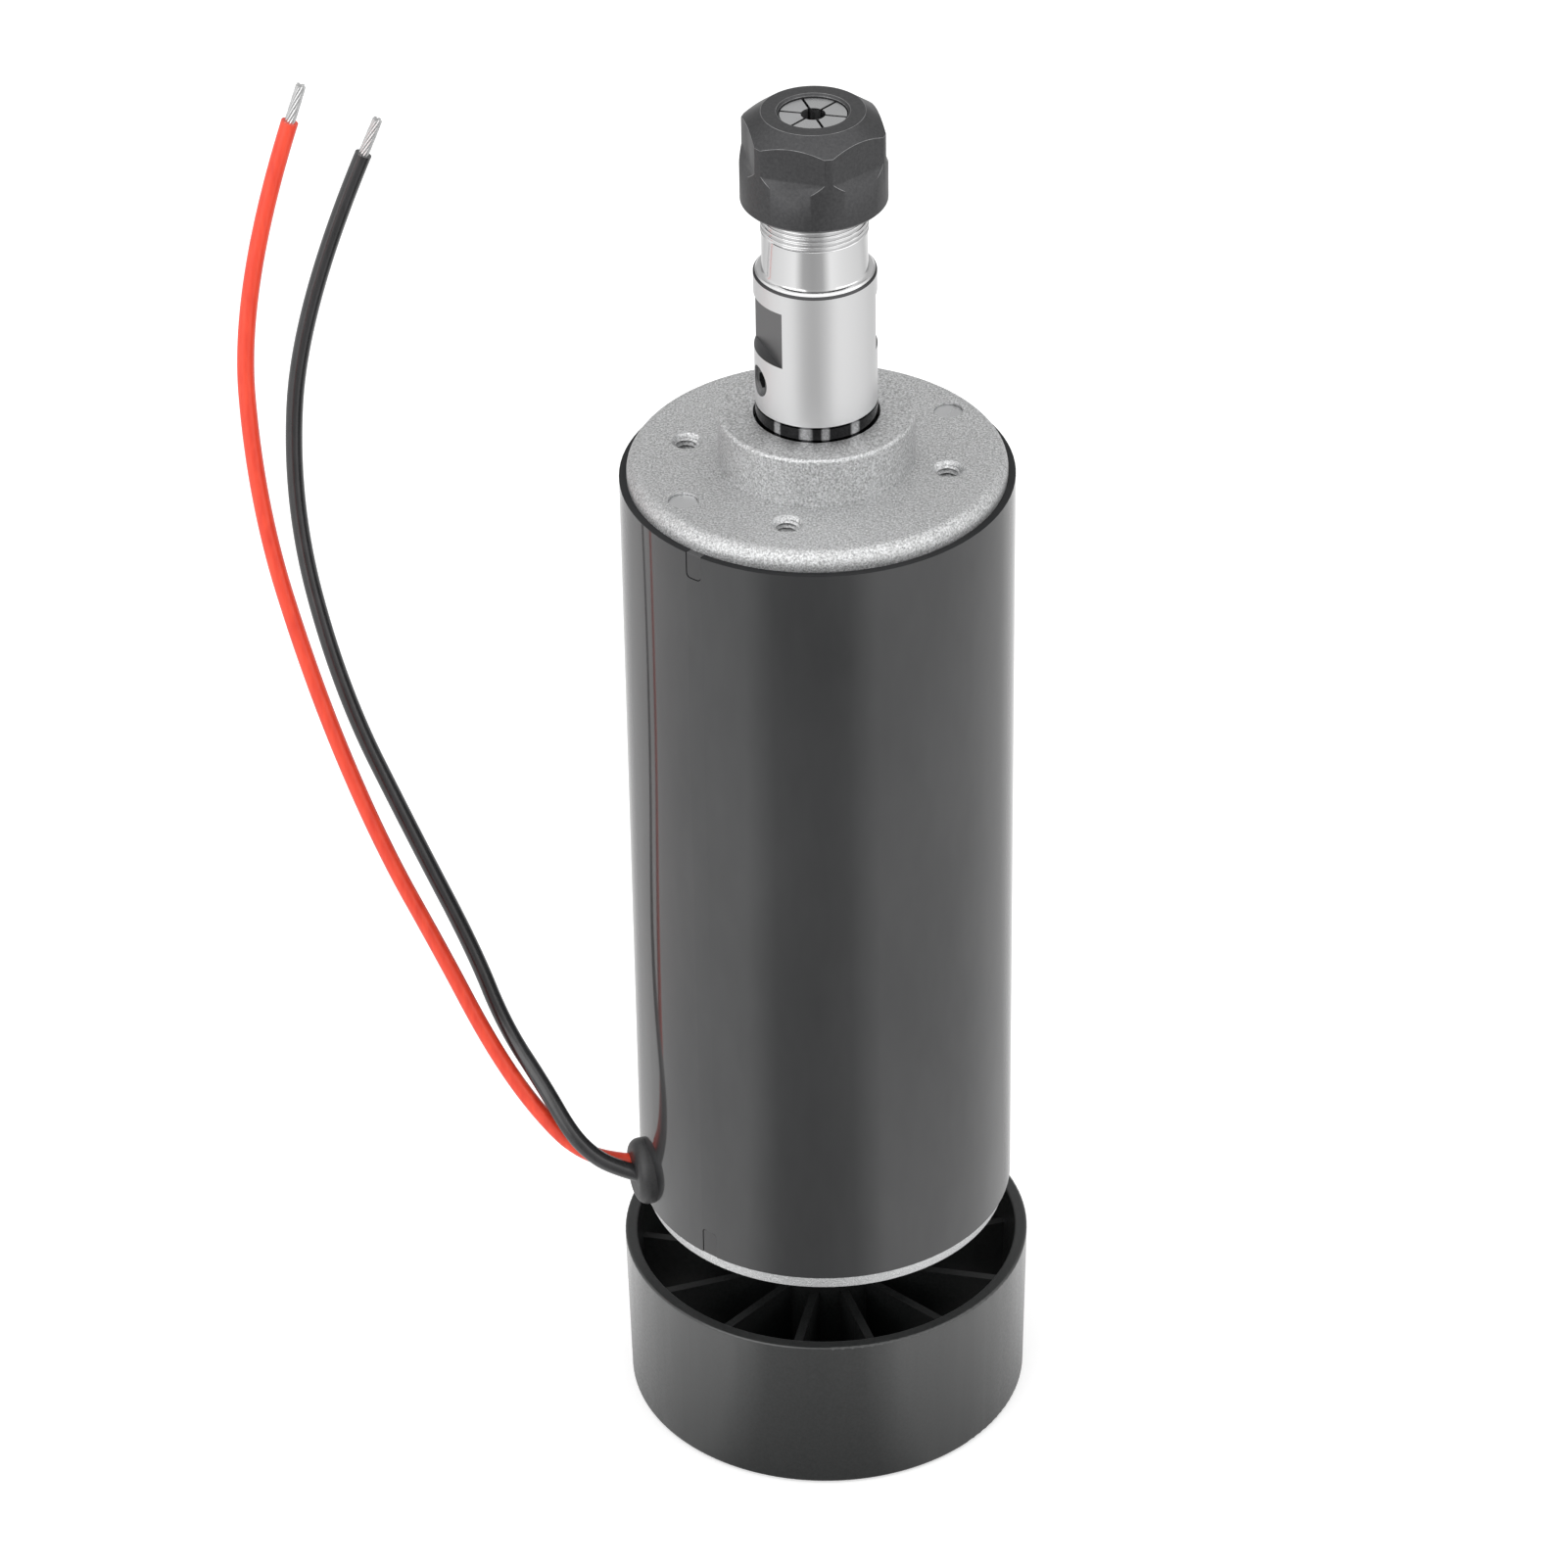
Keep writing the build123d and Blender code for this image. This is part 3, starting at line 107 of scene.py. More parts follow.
# Shape of a thread's groove: rows of vertices in one turn, slope of its flanks, how much of its
# mouth is lost to the crest, and how many times faster than one pitch it deepens from either end.
ROWS_PER_TURN = 16
GROOVE_STEEPNESS = 1.7
GROOVE_NARROWING = 0.6
GROOVE_FADE = 3
SEAT_TOP_RADIUS = 5.414 * MM
SEAT_FOOT_RADIUS = 3.69 * MM
SEAT_DEPTH = 12.25 * MM
SEAT_RELIEF = 1.5 * MM
SHAFT_SEAT = 15.5 * MM
FLAT_DISTANCE = 6.5 * MM
FLAT_FOOT = 8.4 * MM
FLAT_HEIGHT = 8.0 * MM
FLAT_AZIMUTH = -68.5
SET_SCREW_HEIGHT = 4.5 * MM
SET_SCREW_RADIUS = 2.1 * MM
SET_SCREW_HOLE_DEPTH = 8.2 * MM
SET_SCREW_SIDES = 48
FACE_TOLERANCE = 0.01 * MM

RED_ROUTE = [(-27.33, -5.90, 40.08), (-30.76, -6.14, 40.74), (-33.98, -5.80, 42.09), (-37.09, -4.86, 44.3),
             (-42.1, -2.1, 49.7), (-47.0, 0.5, 57.5), (-52.5, 2.5, 70.0), (-60.5, 3.5, 88.5),
             (-68.5, 7.0, 112.0), (-75.0, 12.0, 138.0), (-76.0, 18.0, 167.0), (-68.0, 20.0, 190.5)]
BLACK_ROUTE = [(-26.64, -8.30, 39.98), (-29.89, -8.37, 41.27), (-32.78, -7.95, 43.26), (-35.49, -6.84, 46.2),
               (-39.0, -3.1, 51.3), (-44.5, 3.4, 57.0), (-48.5, 6.5, 68.0), (-56.0, 8.0, 86.0),
               (-65.5, 13.5, 107.0), (-71.5, 23.0, 131.0), (-69.0, 28.5, 158.0), (-59.5, 30.5, 180.0)]


# ------------------------------------------------------------------ camera
CAMERA_PLACE = (0.0, -0.718199, 0.582865)
CAMERA_PITCH = 0.592544
CAMERA_YAW = -0.006958
CAMERA_ROLL = -0.015558
CAMERA_LENS = 147.0144
SENSOR = 36.0


def add_camera():
    """Long lens a little above the chuck, looking down at the spindle from the front."""
    look = Vector((math.sin(CAMERA_YAW) * math.cos(CAMERA_PITCH),
                   math.cos(CAMERA_YAW) * math.cos(CAMERA_PITCH), -math.sin(CAMERA_PITCH)))
    right = look.cross(Vector((0, 0, 1))).normalized()
    up = right.cross(look)
    rolled_right = right * math.cos(CAMERA_ROLL) + up * math.sin(CAMERA_ROLL)
    rolled_up = up * math.cos(CAMERA_ROLL) - right * math.sin(CAMERA_ROLL)
    turn = Matrix((rolled_right, rolled_up, -look)).transposed()
    bpy.ops.object.camera_add()
    camera = bpy.context.object
    camera.name = "camera"
    camera.matrix_world = Matrix.Translation(CAMERA_PLACE) @ turn.to_4x4()
    camera.data.sensor_width = SENSOR
    camera.data.lens = CAMERA_LENS
    camera.data.clip_start = 0.05
    camera.data.clip_end = 20
    bpy.context.scene.camera = camera


# ------------------------------------------------------------------ material helpers
# Between these values lies nearly all of a noise texture.
NOISE_SPAN = (0.3, 0.7)


def new_material(name, colour, metallic=0.0, roughness=0.5, coat=0.0, coat_roughness=0.1, specular=0.5):
    material = bpy.data.materials.new(name)
    material.use_nodes = True
    shader = material.node_tree.nodes["Principled BSDF"]
    shader.inputs["Base Color"].default_value = (*colour, 1)
    shader.inputs["Metallic"].default_value = metallic
    shader.inputs["Roughness"].default_value = roughness
    shader.inputs["Coat Weight"].default_value = coat
    shader.inputs["Coat Roughness"].default_value = coat_roughness
    shader.inputs["Specular IOR Level"].default_value = specular
    return material


def principled(material):
    return material.node_tree.nodes["Principled BSDF"]


def node(material, kind, **values):
    """Adds a shader node, sets its plain settings and its input sockets."""
    made = material.node_tree.nodes.new(kind)
    for key, value in values.items():
        if key in made.inputs:
            made.inputs[key].default_value = value
        else:
            setattr(made, key.lower(), value)
    return made


def link(material, source, output, target, socket):
    material.node_tree.links.new(source.outputs[output], target.inputs[socket])


def object_coordinates(material, scale=(1, 1, 1)):
    place = node(material, "ShaderNodeTexCoord")
    mapping = node(material, "ShaderNodeMapping")
    mapping.inputs["Scale"].default_value = scale
    link(material, place, "Object", mapping, "Vector")
    return mapping


def add_noise(material, scale, detail=3.0, roughness=0.5, stretch=(1, 1, 1)):
    """Noise on the piece's own coordinates. Scale is in features per metre."""
    coordinates = object_coordinates(material, stretch)
    noise = node(material, "ShaderNodeTexNoise", Scale=scale, Detail=detail, Roughness=roughness)
    link(material, coordinates, "Vector", noise, "Vector")
    return noise


def shade_between(material, source, output, low, high, dark, light):
    """Runs the base colour between two shades as a pattern goes from low to high."""
    ramp = node(material, "ShaderNodeValToRGB")
    ramp.color_ramp.elements[0].position = low
    ramp.color_ramp.elements[1].position = high
    ramp.color_ramp.elements[0].color = (*dark, 1)
    ramp.color_ramp.elements[1].color = (*light, 1)
    link(material, source, output, ramp, "Fac")
    link(material, ramp, "Color", principled(material), "Base Color")
    return ramp


def spread_between(material, source, output, start, end, low, high):
    """Runs from low to high as a value goes from start to end."""
    spread = node(material, "ShaderNodeMapRange")
    spread.inputs["From Min"].default_value = start
    spread.inputs["From Max"].default_value = end
    spread.inputs["To Min"].default_value = low
    spread.inputs["To Max"].default_value = high
    link(material, source, output, spread, "Value")
    return spread


def roughen_between(material, source, output, low, high):
    spread = spread_between(material, source, output, *NOISE_SPAN, low, high)
    link(material, spread, "Result", principled(material), "Roughness")


def own_coordinates(material):
    """X, Y and Z on the piece itself, as three outputs."""
    place = node(material, "ShaderNodeTexCoord")
    parts = node(material, "ShaderNodeSeparateXYZ")
    link(material, place, "Object", parts, "Vector")
    return parts


def bump(material, source, output, distance, strength=1.0):
    relief = node(material, "ShaderNodeBump", Strength=strength, Distance=distance)
    link(material, source, output, relief, "Height")
    link(material, relief, "Normal", principled(material), "Normal")
    return relief


# Cycles that a wave texture of scale 1 makes in a metre.
WAVE_CYCLES = 3.2


def turning_marks(material, pitch, distance, strength=0.6):
    """Fine rings round the axis left by a lathe tool."""
    coordinates = object_coordinates(material)
    rings = node(material, "ShaderNodeTexWave", Scale=1 / pitch / WAVE_CYCLES, Distortion=1.2, Detail=3.0)
    rings.bands_direction = "Z"
    rings.inputs["Detail Scale"].default_value = 1.5
    link(material, coordinates, "Vector", rings, "Vector")
    bump(material, rings, "Fac", distance, strength)
    return rings


def wear_and_highlight_edges(material, shade, colour, amount=0.8):
    """Lightens eased edges in patches: the finish rubbed off, and in part a painted edge highlight."""
    edge = node(material, "ShaderNodeAttribute")
    edge.attribute_name = "edge"
    patches = add_noise(material, 700, detail=4.0)
    rubbed = spread_between(material, patches, "Fac", 0.3, 0.6, amount * 0.35, amount)
    share = node(material, "ShaderNodeMath")
    share.operation = "MULTIPLY"
    link(material, edge, "Fac", share, 0)
    link(material, rubbed, "Result", share, 1)
    # Lighter colour on eased edges: partly rubbed wear, partly a painted edge highlight.
    mix = node(material, "ShaderNodeMixRGB")
    mix.inputs["Color2"].default_value = (*colour, 1)
    link(material, share, "Value", mix, "Fac")
    link(material, shade, "Color", mix, "Color1")
    link(material, mix, "Color", principled(material), "Base Color")


# ------------------------------------------------------------------ finishes
ENAMEL_ROUGHNESS = 0.46
CAN_RIM_DEPTH = 0.02 * MM


def gloss_enamel(name="gloss_black_enamel", colour=(0.011, 0.0115, 0.0125)):
    """Thick gloss paint with a faint orange peel, thin on the edges, which are lightened as wear and in part
    as a painted edge highlight.
    """
    material = new_material(name, colour, roughness=ENAMEL_ROUGHNESS, coat=1.0, coat_roughness=0.06,
                            specular=0.42)
    peel = add_noise(material, 420, detail=2.0)
    bump(material, peel, "Fac", 0.00002, 0.5)
    patches = add_noise(material, 30, detail=4.0)
    shade = shade_between(material, patches, "Fac", 0.35, 0.7, colour, tuple(c * 1.35 for c in colour))
    wear_and_highlight_edges(material, shade, (0.1, 0.1, 0.102), 0.6)
    return material


def can_enamel():
    """The can's paint, with a streaky sheen and a dull top rim in the shade of the end plate."""
    material = gloss_enamel()
    shader = principled(material)
    height = own_coordinates(material)
    rim = node(material, "ShaderNodeMath")
    rim.operation = "GREATER_THAN"
    rim.inputs[1].default_value = top_of("motor_can") - CAN_RIM_DEPTH
    link(material, height, "Z", rim, 0)
    for socket, painted, bare in (("Coat Weight", 1.0, 0.0), ("Roughness", ENAMEL_ROUGHNESS, 0.85)):
        spread = spread_between(material, rim, "Value", 0, 1, painted, bare)
        link(material, spread, "Result", shader, socket)
    streaks = add_noise(material, 55, detail=4.0, roughness=0.6, stretch=(1, 1, 0.35))
    sheen = spread_between(material, streaks, "Fac", *NOISE_SPAN, 0.3, 0.56)
    link(material, sheen, "Result", shader, "Specular IOR Level")
    return material


# Middle and half width of each bar of painted reflection, as shares of the chuck's diameter.
COLLAR_PAINTED_REFLECTIONS = ((0.18, 0.015), (0.41, 0.03), (0.57, 0.02), (0.81, 0.02))


def polished_black():
    """Black polish, with four lighter upright bars of painted reflection, drawn in for what it would reflect.
    """
    material = new_material("polished_black", (0.05, 0.05, 0.052), metallic=1.0, roughness=0.09)
    haze = add_noise(material, 500, detail=3.0)
    roughen_between(material, haze, "Fac", 0.07, 0.14)
    across = spread_between(material, own_coordinates(material), "X", -CHUCK_RADIUS, CHUCK_RADIUS, 0, 1)
    # Base colour across the collar: black with four lighter upright bars, a painted reflection.
    bars = node(material, "ShaderNodeValToRGB")
    dark, light = (0.025, 0.025, 0.026, 1), (0.42, 0.42, 0.425, 1)
    bars.color_ramp.elements[0].color = dark
    bars.color_ramp.elements[1].color = dark
    for middle, half in COLLAR_PAINTED_REFLECTIONS:
        for position, colour in ((middle - 2 * half, dark), (middle - half, light),
                                 (middle + half, light), (middle + 2 * half, dark)):
            bars.color_ramp.elements.new(position).color = colour
    link(material, across, "Result", bars, "Fac")
    link(material, bars, "Color", principled(material), "Base Color")
    return material


def blasted_casting(name, dark, light, roughness=0.42):
    """Blasted die casting: bright specks on a grainy grey."""
    material = new_material(name, light, metallic=0.95, roughness=roughness)
    grain = add_noise(material, 3600, detail=5.0, roughness=0.75)
    shade_between(material, grain, "Fac", 0.38, 0.64, dark, light)
    roughen_between(material, grain, "Fac", roughness + 0.12, roughness - 0.12)
    bump(material, grain, "Fac", 0.00013, 0.9)
    return material


def turned_steel(name, colour, roughness=0.22, pitch=0.00035, depth=0.000006):
    """Lathe-turned bright steel."""
    material = new_material(name, colour, metallic=1.0, roughness=roughness)
    turning_marks(material, pitch, depth)
    drift = add_noise(material, 260, detail=4.0, stretch=(1, 1, 3))
    roughen_between(material, drift, "Fac", roughness - 0.05, roughness + 0.07)
    return material


def chuck_steel():
    """Ground body below a brighter, finely turned neck and nose, with a dark chamfer between them, and milled
    flats painted darker as shade.
    """
    material = new_material("chuck_steel", (0.8, 0.8, 0.803), metallic=1.0, roughness=0.35)
    shader = principled(material)
    shader.inputs["Anisotropic"].default_value = 0.5
    around_axis = node(material, "ShaderNodeTangent")
    around_axis.direction_type = "RADIAL"
    around_axis.axis = "Z"
    link(material, around_axis, "Tangent", shader, "Tangent")
    turning_marks(material, 0.00022, 0.000003, 0.5)
    height = own_coordinates(material)
    shoulder = foot_of("collet_chuck") + CHUCK_LENGTH
    polish = spread_between(material, height, "Z", shoulder - CHUCK_EDGE, shoulder, 0.35, 0.13)
    milled = node(material, "ShaderNodeAttribute")
    milled.attribute_name = "milled"
    dull = node(material, "ShaderNodeMixRGB", Color2=(0.46, 0.46, 0.46, 1))
    link(material, milled, "Fac", dull, "Fac")
    link(material, polish, "Result", dull, "Color1")
    link(material, dull, "Color", shader, "Roughness")
    chamfer = node(material, "ShaderNodeValToRGB")
    ramp = chamfer.color_ramp
    ramp.interpolation = "CONSTANT"
    ramp.elements[0].color = (0.78, 0.78, 0.783, 1)
    ramp.elements[1].position = 0.3
    ramp.elements[1].color = (0.07, 0.07, 0.072, 1)
    ramp.elements.new(0.62).color = (0.76, 0.76, 0.763, 1)
    band = spread_between(material, height, "Z", shoulder - 2 * CHUCK_EDGE, shoulder + 0.5 * CHUCK_EDGE, 0, 1)
    link(material, band, "Result", chamfer, "Fac")
    # Milled flats and their ledge get a darker base colour: painted shade.
    shade = node(material, "ShaderNodeMixRGB", Color2=(0.2, 0.2, 0.203, 1))
    link(material, milled, "Fac", shade, "Fac")
    link(material, chamfer, "Color", shade, "Color1")
    link(material, shade, "Color", shader, "Base Color")
    return material


def black_oxide(name="black_oxide", dark=(0.048, 0.048, 0.05), light=(0.07, 0.07, 0.072)):
    """Blackened steel, rubbed back to grey metal along its edges, which also carry a painted edge highlight.
    """
    material = new_material(name, light, metallic=0.6, roughness=0.42)
    grain = add_noise(material, 2600, detail=4.0, roughness=0.6)
    shade = shade_between(material, grain, "Fac", 0.3, 0.7, dark, light)
    clouds = add_noise(material, 170, detail=4.0)
    roughen_between(material, clouds, "Fac", 0.34, 0.5)
    bump(material, grain, "Fac", 0.00002, 0.4)
    wear_and_highlight_edges(material, shade, (0.34, 0.34, 0.345), 0.9)
    return material


def moulded_plastic(name, dark, light, roughness=0.42, grain_size=2600):
    material = new_material(name, light, roughness=roughness)
    grain = add_noise(material, grain_size, detail=3.0, roughness=0.6)
    shade_between(material, grain, "Fac", 0.3, 0.7, dark, light)
    roughen_between(material, grain, "Fac", roughness - 0.06, roughness + 0.08)
    bump(material, grain, "Fac", 0.00002, 0.35)
    return material


def fan_moulding():
    """Black moulding, glossy on its outer wall and with less sheen towards the hub."""
    material = moulded_plastic("fan_moulding", (0.014, 0.015, 0.015), (0.022, 0.023, 0.023), 0.36)
    shader = principled(material)
    shader.inputs["Coat Roughness"].default_value = 0.07
    place = node(material, "ShaderNodeTexCoord")
    flatten = node(material, "ShaderNodeVectorMath")
    flatten.operation = "MULTIPLY"
    flatten.inputs[1].default_value = (1, 1, 0)
    link(material, place, "Object", flatten, 0)
    radius = node(material, "ShaderNodeVectorMath")
    radius.operation = "LENGTH"
    link(material, flatten, "Vector", radius, 0)
    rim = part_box("fan_wheel")[1].x
    for socket, start, end, inside, outside in (("Specular IOR Level", 0.5, 0.96, 0.0, 0.45),
                                                ("Coat Weight", 0.985, 0.999, 0.0, 1.0)):
        spread = spread_between(material, radius, "Value", rim * start, rim * end, inside, outside)
        link(material, spread, "Result", shader, socket)
    return material


def vinyl(name, dark, light, roughness=0.3, coat=0.4):
    """Extruded wire insulation: satin, with faint streaks along its length."""
    material = new_material(name, light, roughness=roughness, coat=coat, coat_roughness=0.16)
    streaks = add_noise(material, 1100, detail=3.0, stretch=(1, 1, 0.1))
    shade_between(material, streaks, "Fac", 0.3, 0.7, dark, light)
    bump(material, streaks, "Fac", 0.00002, 0.4)
    return material


FINISHES = {}


def finish(slot, material):
    FINISHES[slot] = material


def make_finishes():
    """One finish for each material slot of the record."""
    finish("can", can_enamel())
    finish("key", gloss_enamel("key_enamel", (0.01, 0.01, 0.011)))
    finish("collar", polished_black())
    finish("cast", blasted_casting("front_casting", (0.3, 0.303, 0.305), (0.86, 0.865, 0.87)))
    finish("rear_cast", blasted_casting("rear_casting", (0.62, 0.625, 0.63), (0.88, 0.885, 0.89), 0.3))
    finish("bolt", turned_steel("bolt_steel", (0.66, 0.665, 0.67), 0.3, 0.0002))
    finish("chuck", chuck_steel())
    finish("shaft", turned_steel("shaft_steel", (0.62, 0.62, 0.63), 0.18))
    finish("spacer", turned_steel("spacer_steel", (0.6, 0.6, 0.61), 0.3))
    finish("collet", turned_steel("collet_steel", (0.6, 0.605, 0.61), 0.26, 0.00025))
    finish("spring", turned_steel("spring_steel", (0.5, 0.5, 0.52), 0.3))
    finish("bearing", turned_steel("race_steel", (0.66, 0.67, 0.68), 0.16))
    finish("ball", turned_steel("ball_steel", (0.75, 0.75, 0.77), 0.06))
    finish("cage", turned_steel("cage_steel", (0.58, 0.56, 0.52), 0.32))
    finish("brass", turned_steel("satin_brass", (0.62, 0.45, 0.2), 0.28))
    finish("grub", black_oxide("grub_oxide", (0.02, 0.02, 0.021), (0.045, 0.045, 0.047)))
    finish("nut", black_oxide("nut_oxide"))
    finish("fan", fan_moulding())
    finish("grommet", moulded_plastic("grommet_rubber", (0.02, 0.02, 0.021), (0.032, 0.032, 0.033), 0.42))
    finish("board", moulded_plastic("phenolic_board", (0.2, 0.1, 0.05), (0.3, 0.17, 0.08)))
    finish("carbon", moulded_plastic("brush_carbon", (0.02, 0.02, 0.02), (0.05, 0.05, 0.052), 0.6))
    finish("insulation", moulded_plastic("slot_insulation", (0.6, 0.55, 0.42), (0.72, 0.68, 0.55), 0.6))
    finish("hub", moulded_plastic("commutator_moulding", (0.06, 0.035, 0.02), (0.11, 0.07, 0.045)))
    finish("red_wire", vinyl("red_vinyl", (0.78, 0.045, 0.018), (0.93, 0.075, 0.03), 0.36, 0.15))
    finish("black_wire", vinyl("black_vinyl", (0.018, 0.018, 0.019), (0.03, 0.03, 0.032), 0.26))
    finish("tinned", turned_steel("tinned_copper", (0.7, 0.7, 0.7), 0.24, 0.0004))
    finish("magnet", moulded_plastic("ground_ferrite", (0.05, 0.05, 0.052), (0.09, 0.09, 0.095), 0.45))
    finish("laminations", turned_steel("lamination_steel", (0.3, 0.3, 0.31), 0.4, 0.0005, 0.00002))
    finish("copper", turned_steel("enamelled_copper", (0.55, 0.22, 0.09), 0.3, 0.0006, 0.00003))
    finish("copper_bar", turned_steel("turned_copper", (0.72, 0.38, 0.24), 0.25))


def dress_nodes():
    """Gives every CAD node the finish of its slot."""
    for entry in frame["record"]["subparts"]:
        slots = nodes[entry["node"]].material_slots
        for material_slot in slots:
            material_slot.material = FINISHES[entry["material_slot"]]


# ------------------------------------------------------------------ modelling helpers
def seat(piece, body, slot, replaced=None):
    """Puts a new piece on its body, gives it its finish and hides the node that it stands for."""
    piece.data.materials.clear()
    piece.data.materials.append(FINISHES[slot])
    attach(piece, body)
    if replaced:
        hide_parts(replaced)
    bpy.ops.object.select_all(action="DESELECT")


def only_select(piece):
    bpy.ops.object.select_all(action="DESELECT")
    piece.select_set(True)
    bpy.context.view_layer.objects.active = piece


def turned_ring(name, rows, sides):
    """A closed turned shape: a ring of vertices extruded through (radius, height) rows."""
    radius, height = rows[0]
    bpy.ops.object.select_all(action="DESELECT")
    bpy.ops.mesh.primitive_circle_add(vertices=sides, radius=radius, location=(0, 0, height))
    piece = bpy.context.object
    piece.name = name
    bpy.ops.object.transform_apply(location=True)
    bpy.ops.object.mode_set(mode="EDIT")
    bpy.ops.mesh.select_all(action="SELECT")
    for next_radius, next_height in rows[1:]:
        bpy.ops.mesh.extrude_edges_move(TRANSFORM_OT_translate={"value": (0, 0, next_height - height)})
        scale = next_radius / radius
        bpy.ops.transform.resize(value=(scale, scale, 1), center_override=(0, 0, 0))
        radius, height = next_radius, next_height
    bpy.ops.mesh.select_all(action="DESELECT")
    bpy.ops.mesh.select_mode(type="EDGE")
    bpy.ops.mesh.select_non_manifold()
    bpy.ops.mesh.bridge_edge_loops()
    bpy.ops.mesh.select_all(action="SELECT")
    bpy.ops.mesh.normals_make_consistent(inside=False)
    bpy.ops.object.mode_set(mode="OBJECT")
    return piece


def cut_away(piece, cutter):
    only_select(piece)
    cut = piece.modifiers.new("cut", "BOOLEAN")
    cut.object = cutter
    cut.operation = "DIFFERENCE"
    cut.solver = "EXACT"
    bpy.ops.object.modifier_apply(modifier=cut.name)
    bpy.data.objects.remove(cutter)


def cut_thread(piece, crest, depth, pitch, foot, top):
    """Presses a right-hand groove into the rows between foot and top, towards the axis."""
    for vertex in piece.data.vertices:
        x, y, z = vertex.co
        radius = math.hypot(x, y)
        if abs(radius - crest) > depth / 4 or not foot < z < top:
            continue
        turn = (z - foot) / pitch - math.atan2(y, x) / math.tau
        wave = abs(2 * (turn % 1) - 1)
        cut = min(max(GROOVE_STEEPNESS * (1 - wave) - GROOVE_NARROWING, 0), 1)
        fade = min(GROOVE_FADE * (z - foot) / pitch, GROOVE_FADE * (top - z) / pitch, 1)
        scale = (radius - depth * cut * fade) / radius
        vertex.co = (x * scale, y * scale, z)


def rows_between(radius, foot, top, pitch):
    """Rows for a thread, close enough for each turn to be cut."""
    count = round((top - foot) / pitch * ROWS_PER_TURN)
    return [(radius, foot + (top - foot) * i / count) for i in range(count + 1)]


def eased_copy(name, body, slot, width, segments=2, sharp=32):
    """A node's own shape with its sharp edges rounded off, and each eased edge marked for wear and a painted
    edge highlight.
    """
    piece = bpy.data.objects.new(name + "_eased", nodes[name].data.copy())
    bpy.context.scene.collection.objects.link(piece)
    only_select(piece)
    bpy.ops.object.mode_set(mode="EDIT")
    bpy.ops.mesh.select_all(action="SELECT")
    bpy.ops.mesh.remove_doubles(threshold=0.000002)
    bpy.ops.mesh.dissolve_limited(angle_limit=math.radians(0.6))
    bpy.ops.object.mode_set(mode="OBJECT")
    if piece.data.has_custom_normals:
        bpy.ops.mesh.customdata_custom_splitnormals_clear()
    piece.data.materials.clear()
    for _ in ("faces", "eased edges"):
        piece.data.materials.append(FINISHES[slot])
    piece.data.polygons.foreach_set("material_index", [0] * len(piece.data.polygons))
    bevel = piece.modifiers.new("ease", "BEVEL")
    bevel.width = width
    bevel.segments = segments
    bevel.limit_method = "ANGLE"
    bevel.angle_limit = math.radians(sharp)
    bevel.material = 1
    bpy.ops.object.modifier_apply(modifier=bevel.name)
    mark = piece.data.attributes.new("edge", "FLOAT", "CORNER")
    for polygon in piece.data.polygons:
        for corner in polygon.loop_indices:
            mark.data[corner].value = polygon.material_index
        polygon.material_index = 0
    bpy.ops.object.shade_smooth_by_angle(angle=math.radians(35))
    level = piece.modifiers.new("level", "WEIGHTED_NORMAL")
    level.keep_sharp = True
    bpy.ops.object.modifier_apply(modifier=level.name)
    seat(piece, body, slot, name)
    return piece


# ------------------------------------------------------------------ chuck and threads
def add_chuck():
    """Collet chuck with a threaded nose, two milled flats and two set-screw holes."""
    foot = foot_of("collet_chuck")
    top = top_of("collet_chuck")
    shoulder = foot + CHUCK_LENGTH
    start = shoulder + NECK_LENGTH - NOSE_THREAD_LOWER
    thread = rows_between(NOSE_RADIUS, start + NOSE_RADIUS - NECK_RADIUS, top - NOSE_EDGE, NOSE_PITCH)
    rows = [(CHUCK_BORE, foot),
            (CHUCK_RADIUS - CHUCK_FOOT_EDGE, foot), (CHUCK_RADIUS, foot + CHUCK_FOOT_EDGE),
            (CHUCK_RADIUS, shoulder - CHUCK_EDGE), (CHUCK_RADIUS - CHUCK_EDGE, shoulder),
            (NECK_RADIUS + NECK_ROOT, shoulder),
            (NECK_RADIUS + NECK_ROOT * NECK_ROOT_BELLY, shoulder + NECK_ROOT * NECK_ROOT_BELLY),
            (NECK_RADIUS, shoulder + NECK_ROOT), (NECK_RADIUS, start),
            *thread, (NOSE_RADIUS - NOSE_EDGE, top),
            (SEAT_TOP_RADIUS, top), (SEAT_FOOT_RADIUS, top - SEAT_DEPTH),
            (SEAT_FOOT_RADIUS, top - SEAT_DEPTH - SEAT_RELIEF), (CHUCK_BORE, foot + SHAFT_SEAT)]
    chuck = turned_ring("chuck_threaded", rows, CHUCK_SIDES)
    cut_thread(chuck, NOSE_RADIUS, NOSE_THREAD_DEPTH, NOSE_PITCH, thread[0][1], top - NOSE_EDGE)
    for side in (0, 180):
        azimuth = math.radians(FLAT_AZIMUTH + side - 90)
        out = Vector((math.cos(azimuth), math.sin(azimuth), 0))
        middle = out * (FLAT_DISTANCE + CHUCK_RADIUS) + Vector((0, 0, foot + FLAT_FOOT + FLAT_HEIGHT / 2))
        bpy.ops.mesh.primitive_cube_add(size=1, location=middle, rotation=(0, 0, azimuth),
                                        scale=(2 * CHUCK_RADIUS, 2 * CHUCK_RADIUS, FLAT_HEIGHT))
        cut_away(chuck, bpy.context.object)
        mark_milled(chuck, out, foot + FLAT_FOOT)
        middle = out * CHUCK_RADIUS + Vector((0, 0, foot + SET_SCREW_HEIGHT))
        bpy.ops.mesh.primitive_cylinder_add(vertices=SET_SCREW_SIDES, radius=SET_SCREW_RADIUS,
                                            depth=SET_SCREW_HOLE_DEPTH, location=middle,
                                            rotation=(math.pi / 2, 0, azimuth + math.pi / 2))
        cut_away(chuck, bpy.context.object)
    only_select(chuck)
    bpy.ops.object.shade_smooth_by_angle(angle=math.radians(30))
    smooth_thread(chuck, thread[1][1], top - NOSE_EDGE)
    seat(chuck, "rotor", "chuck", "collet_chuck")


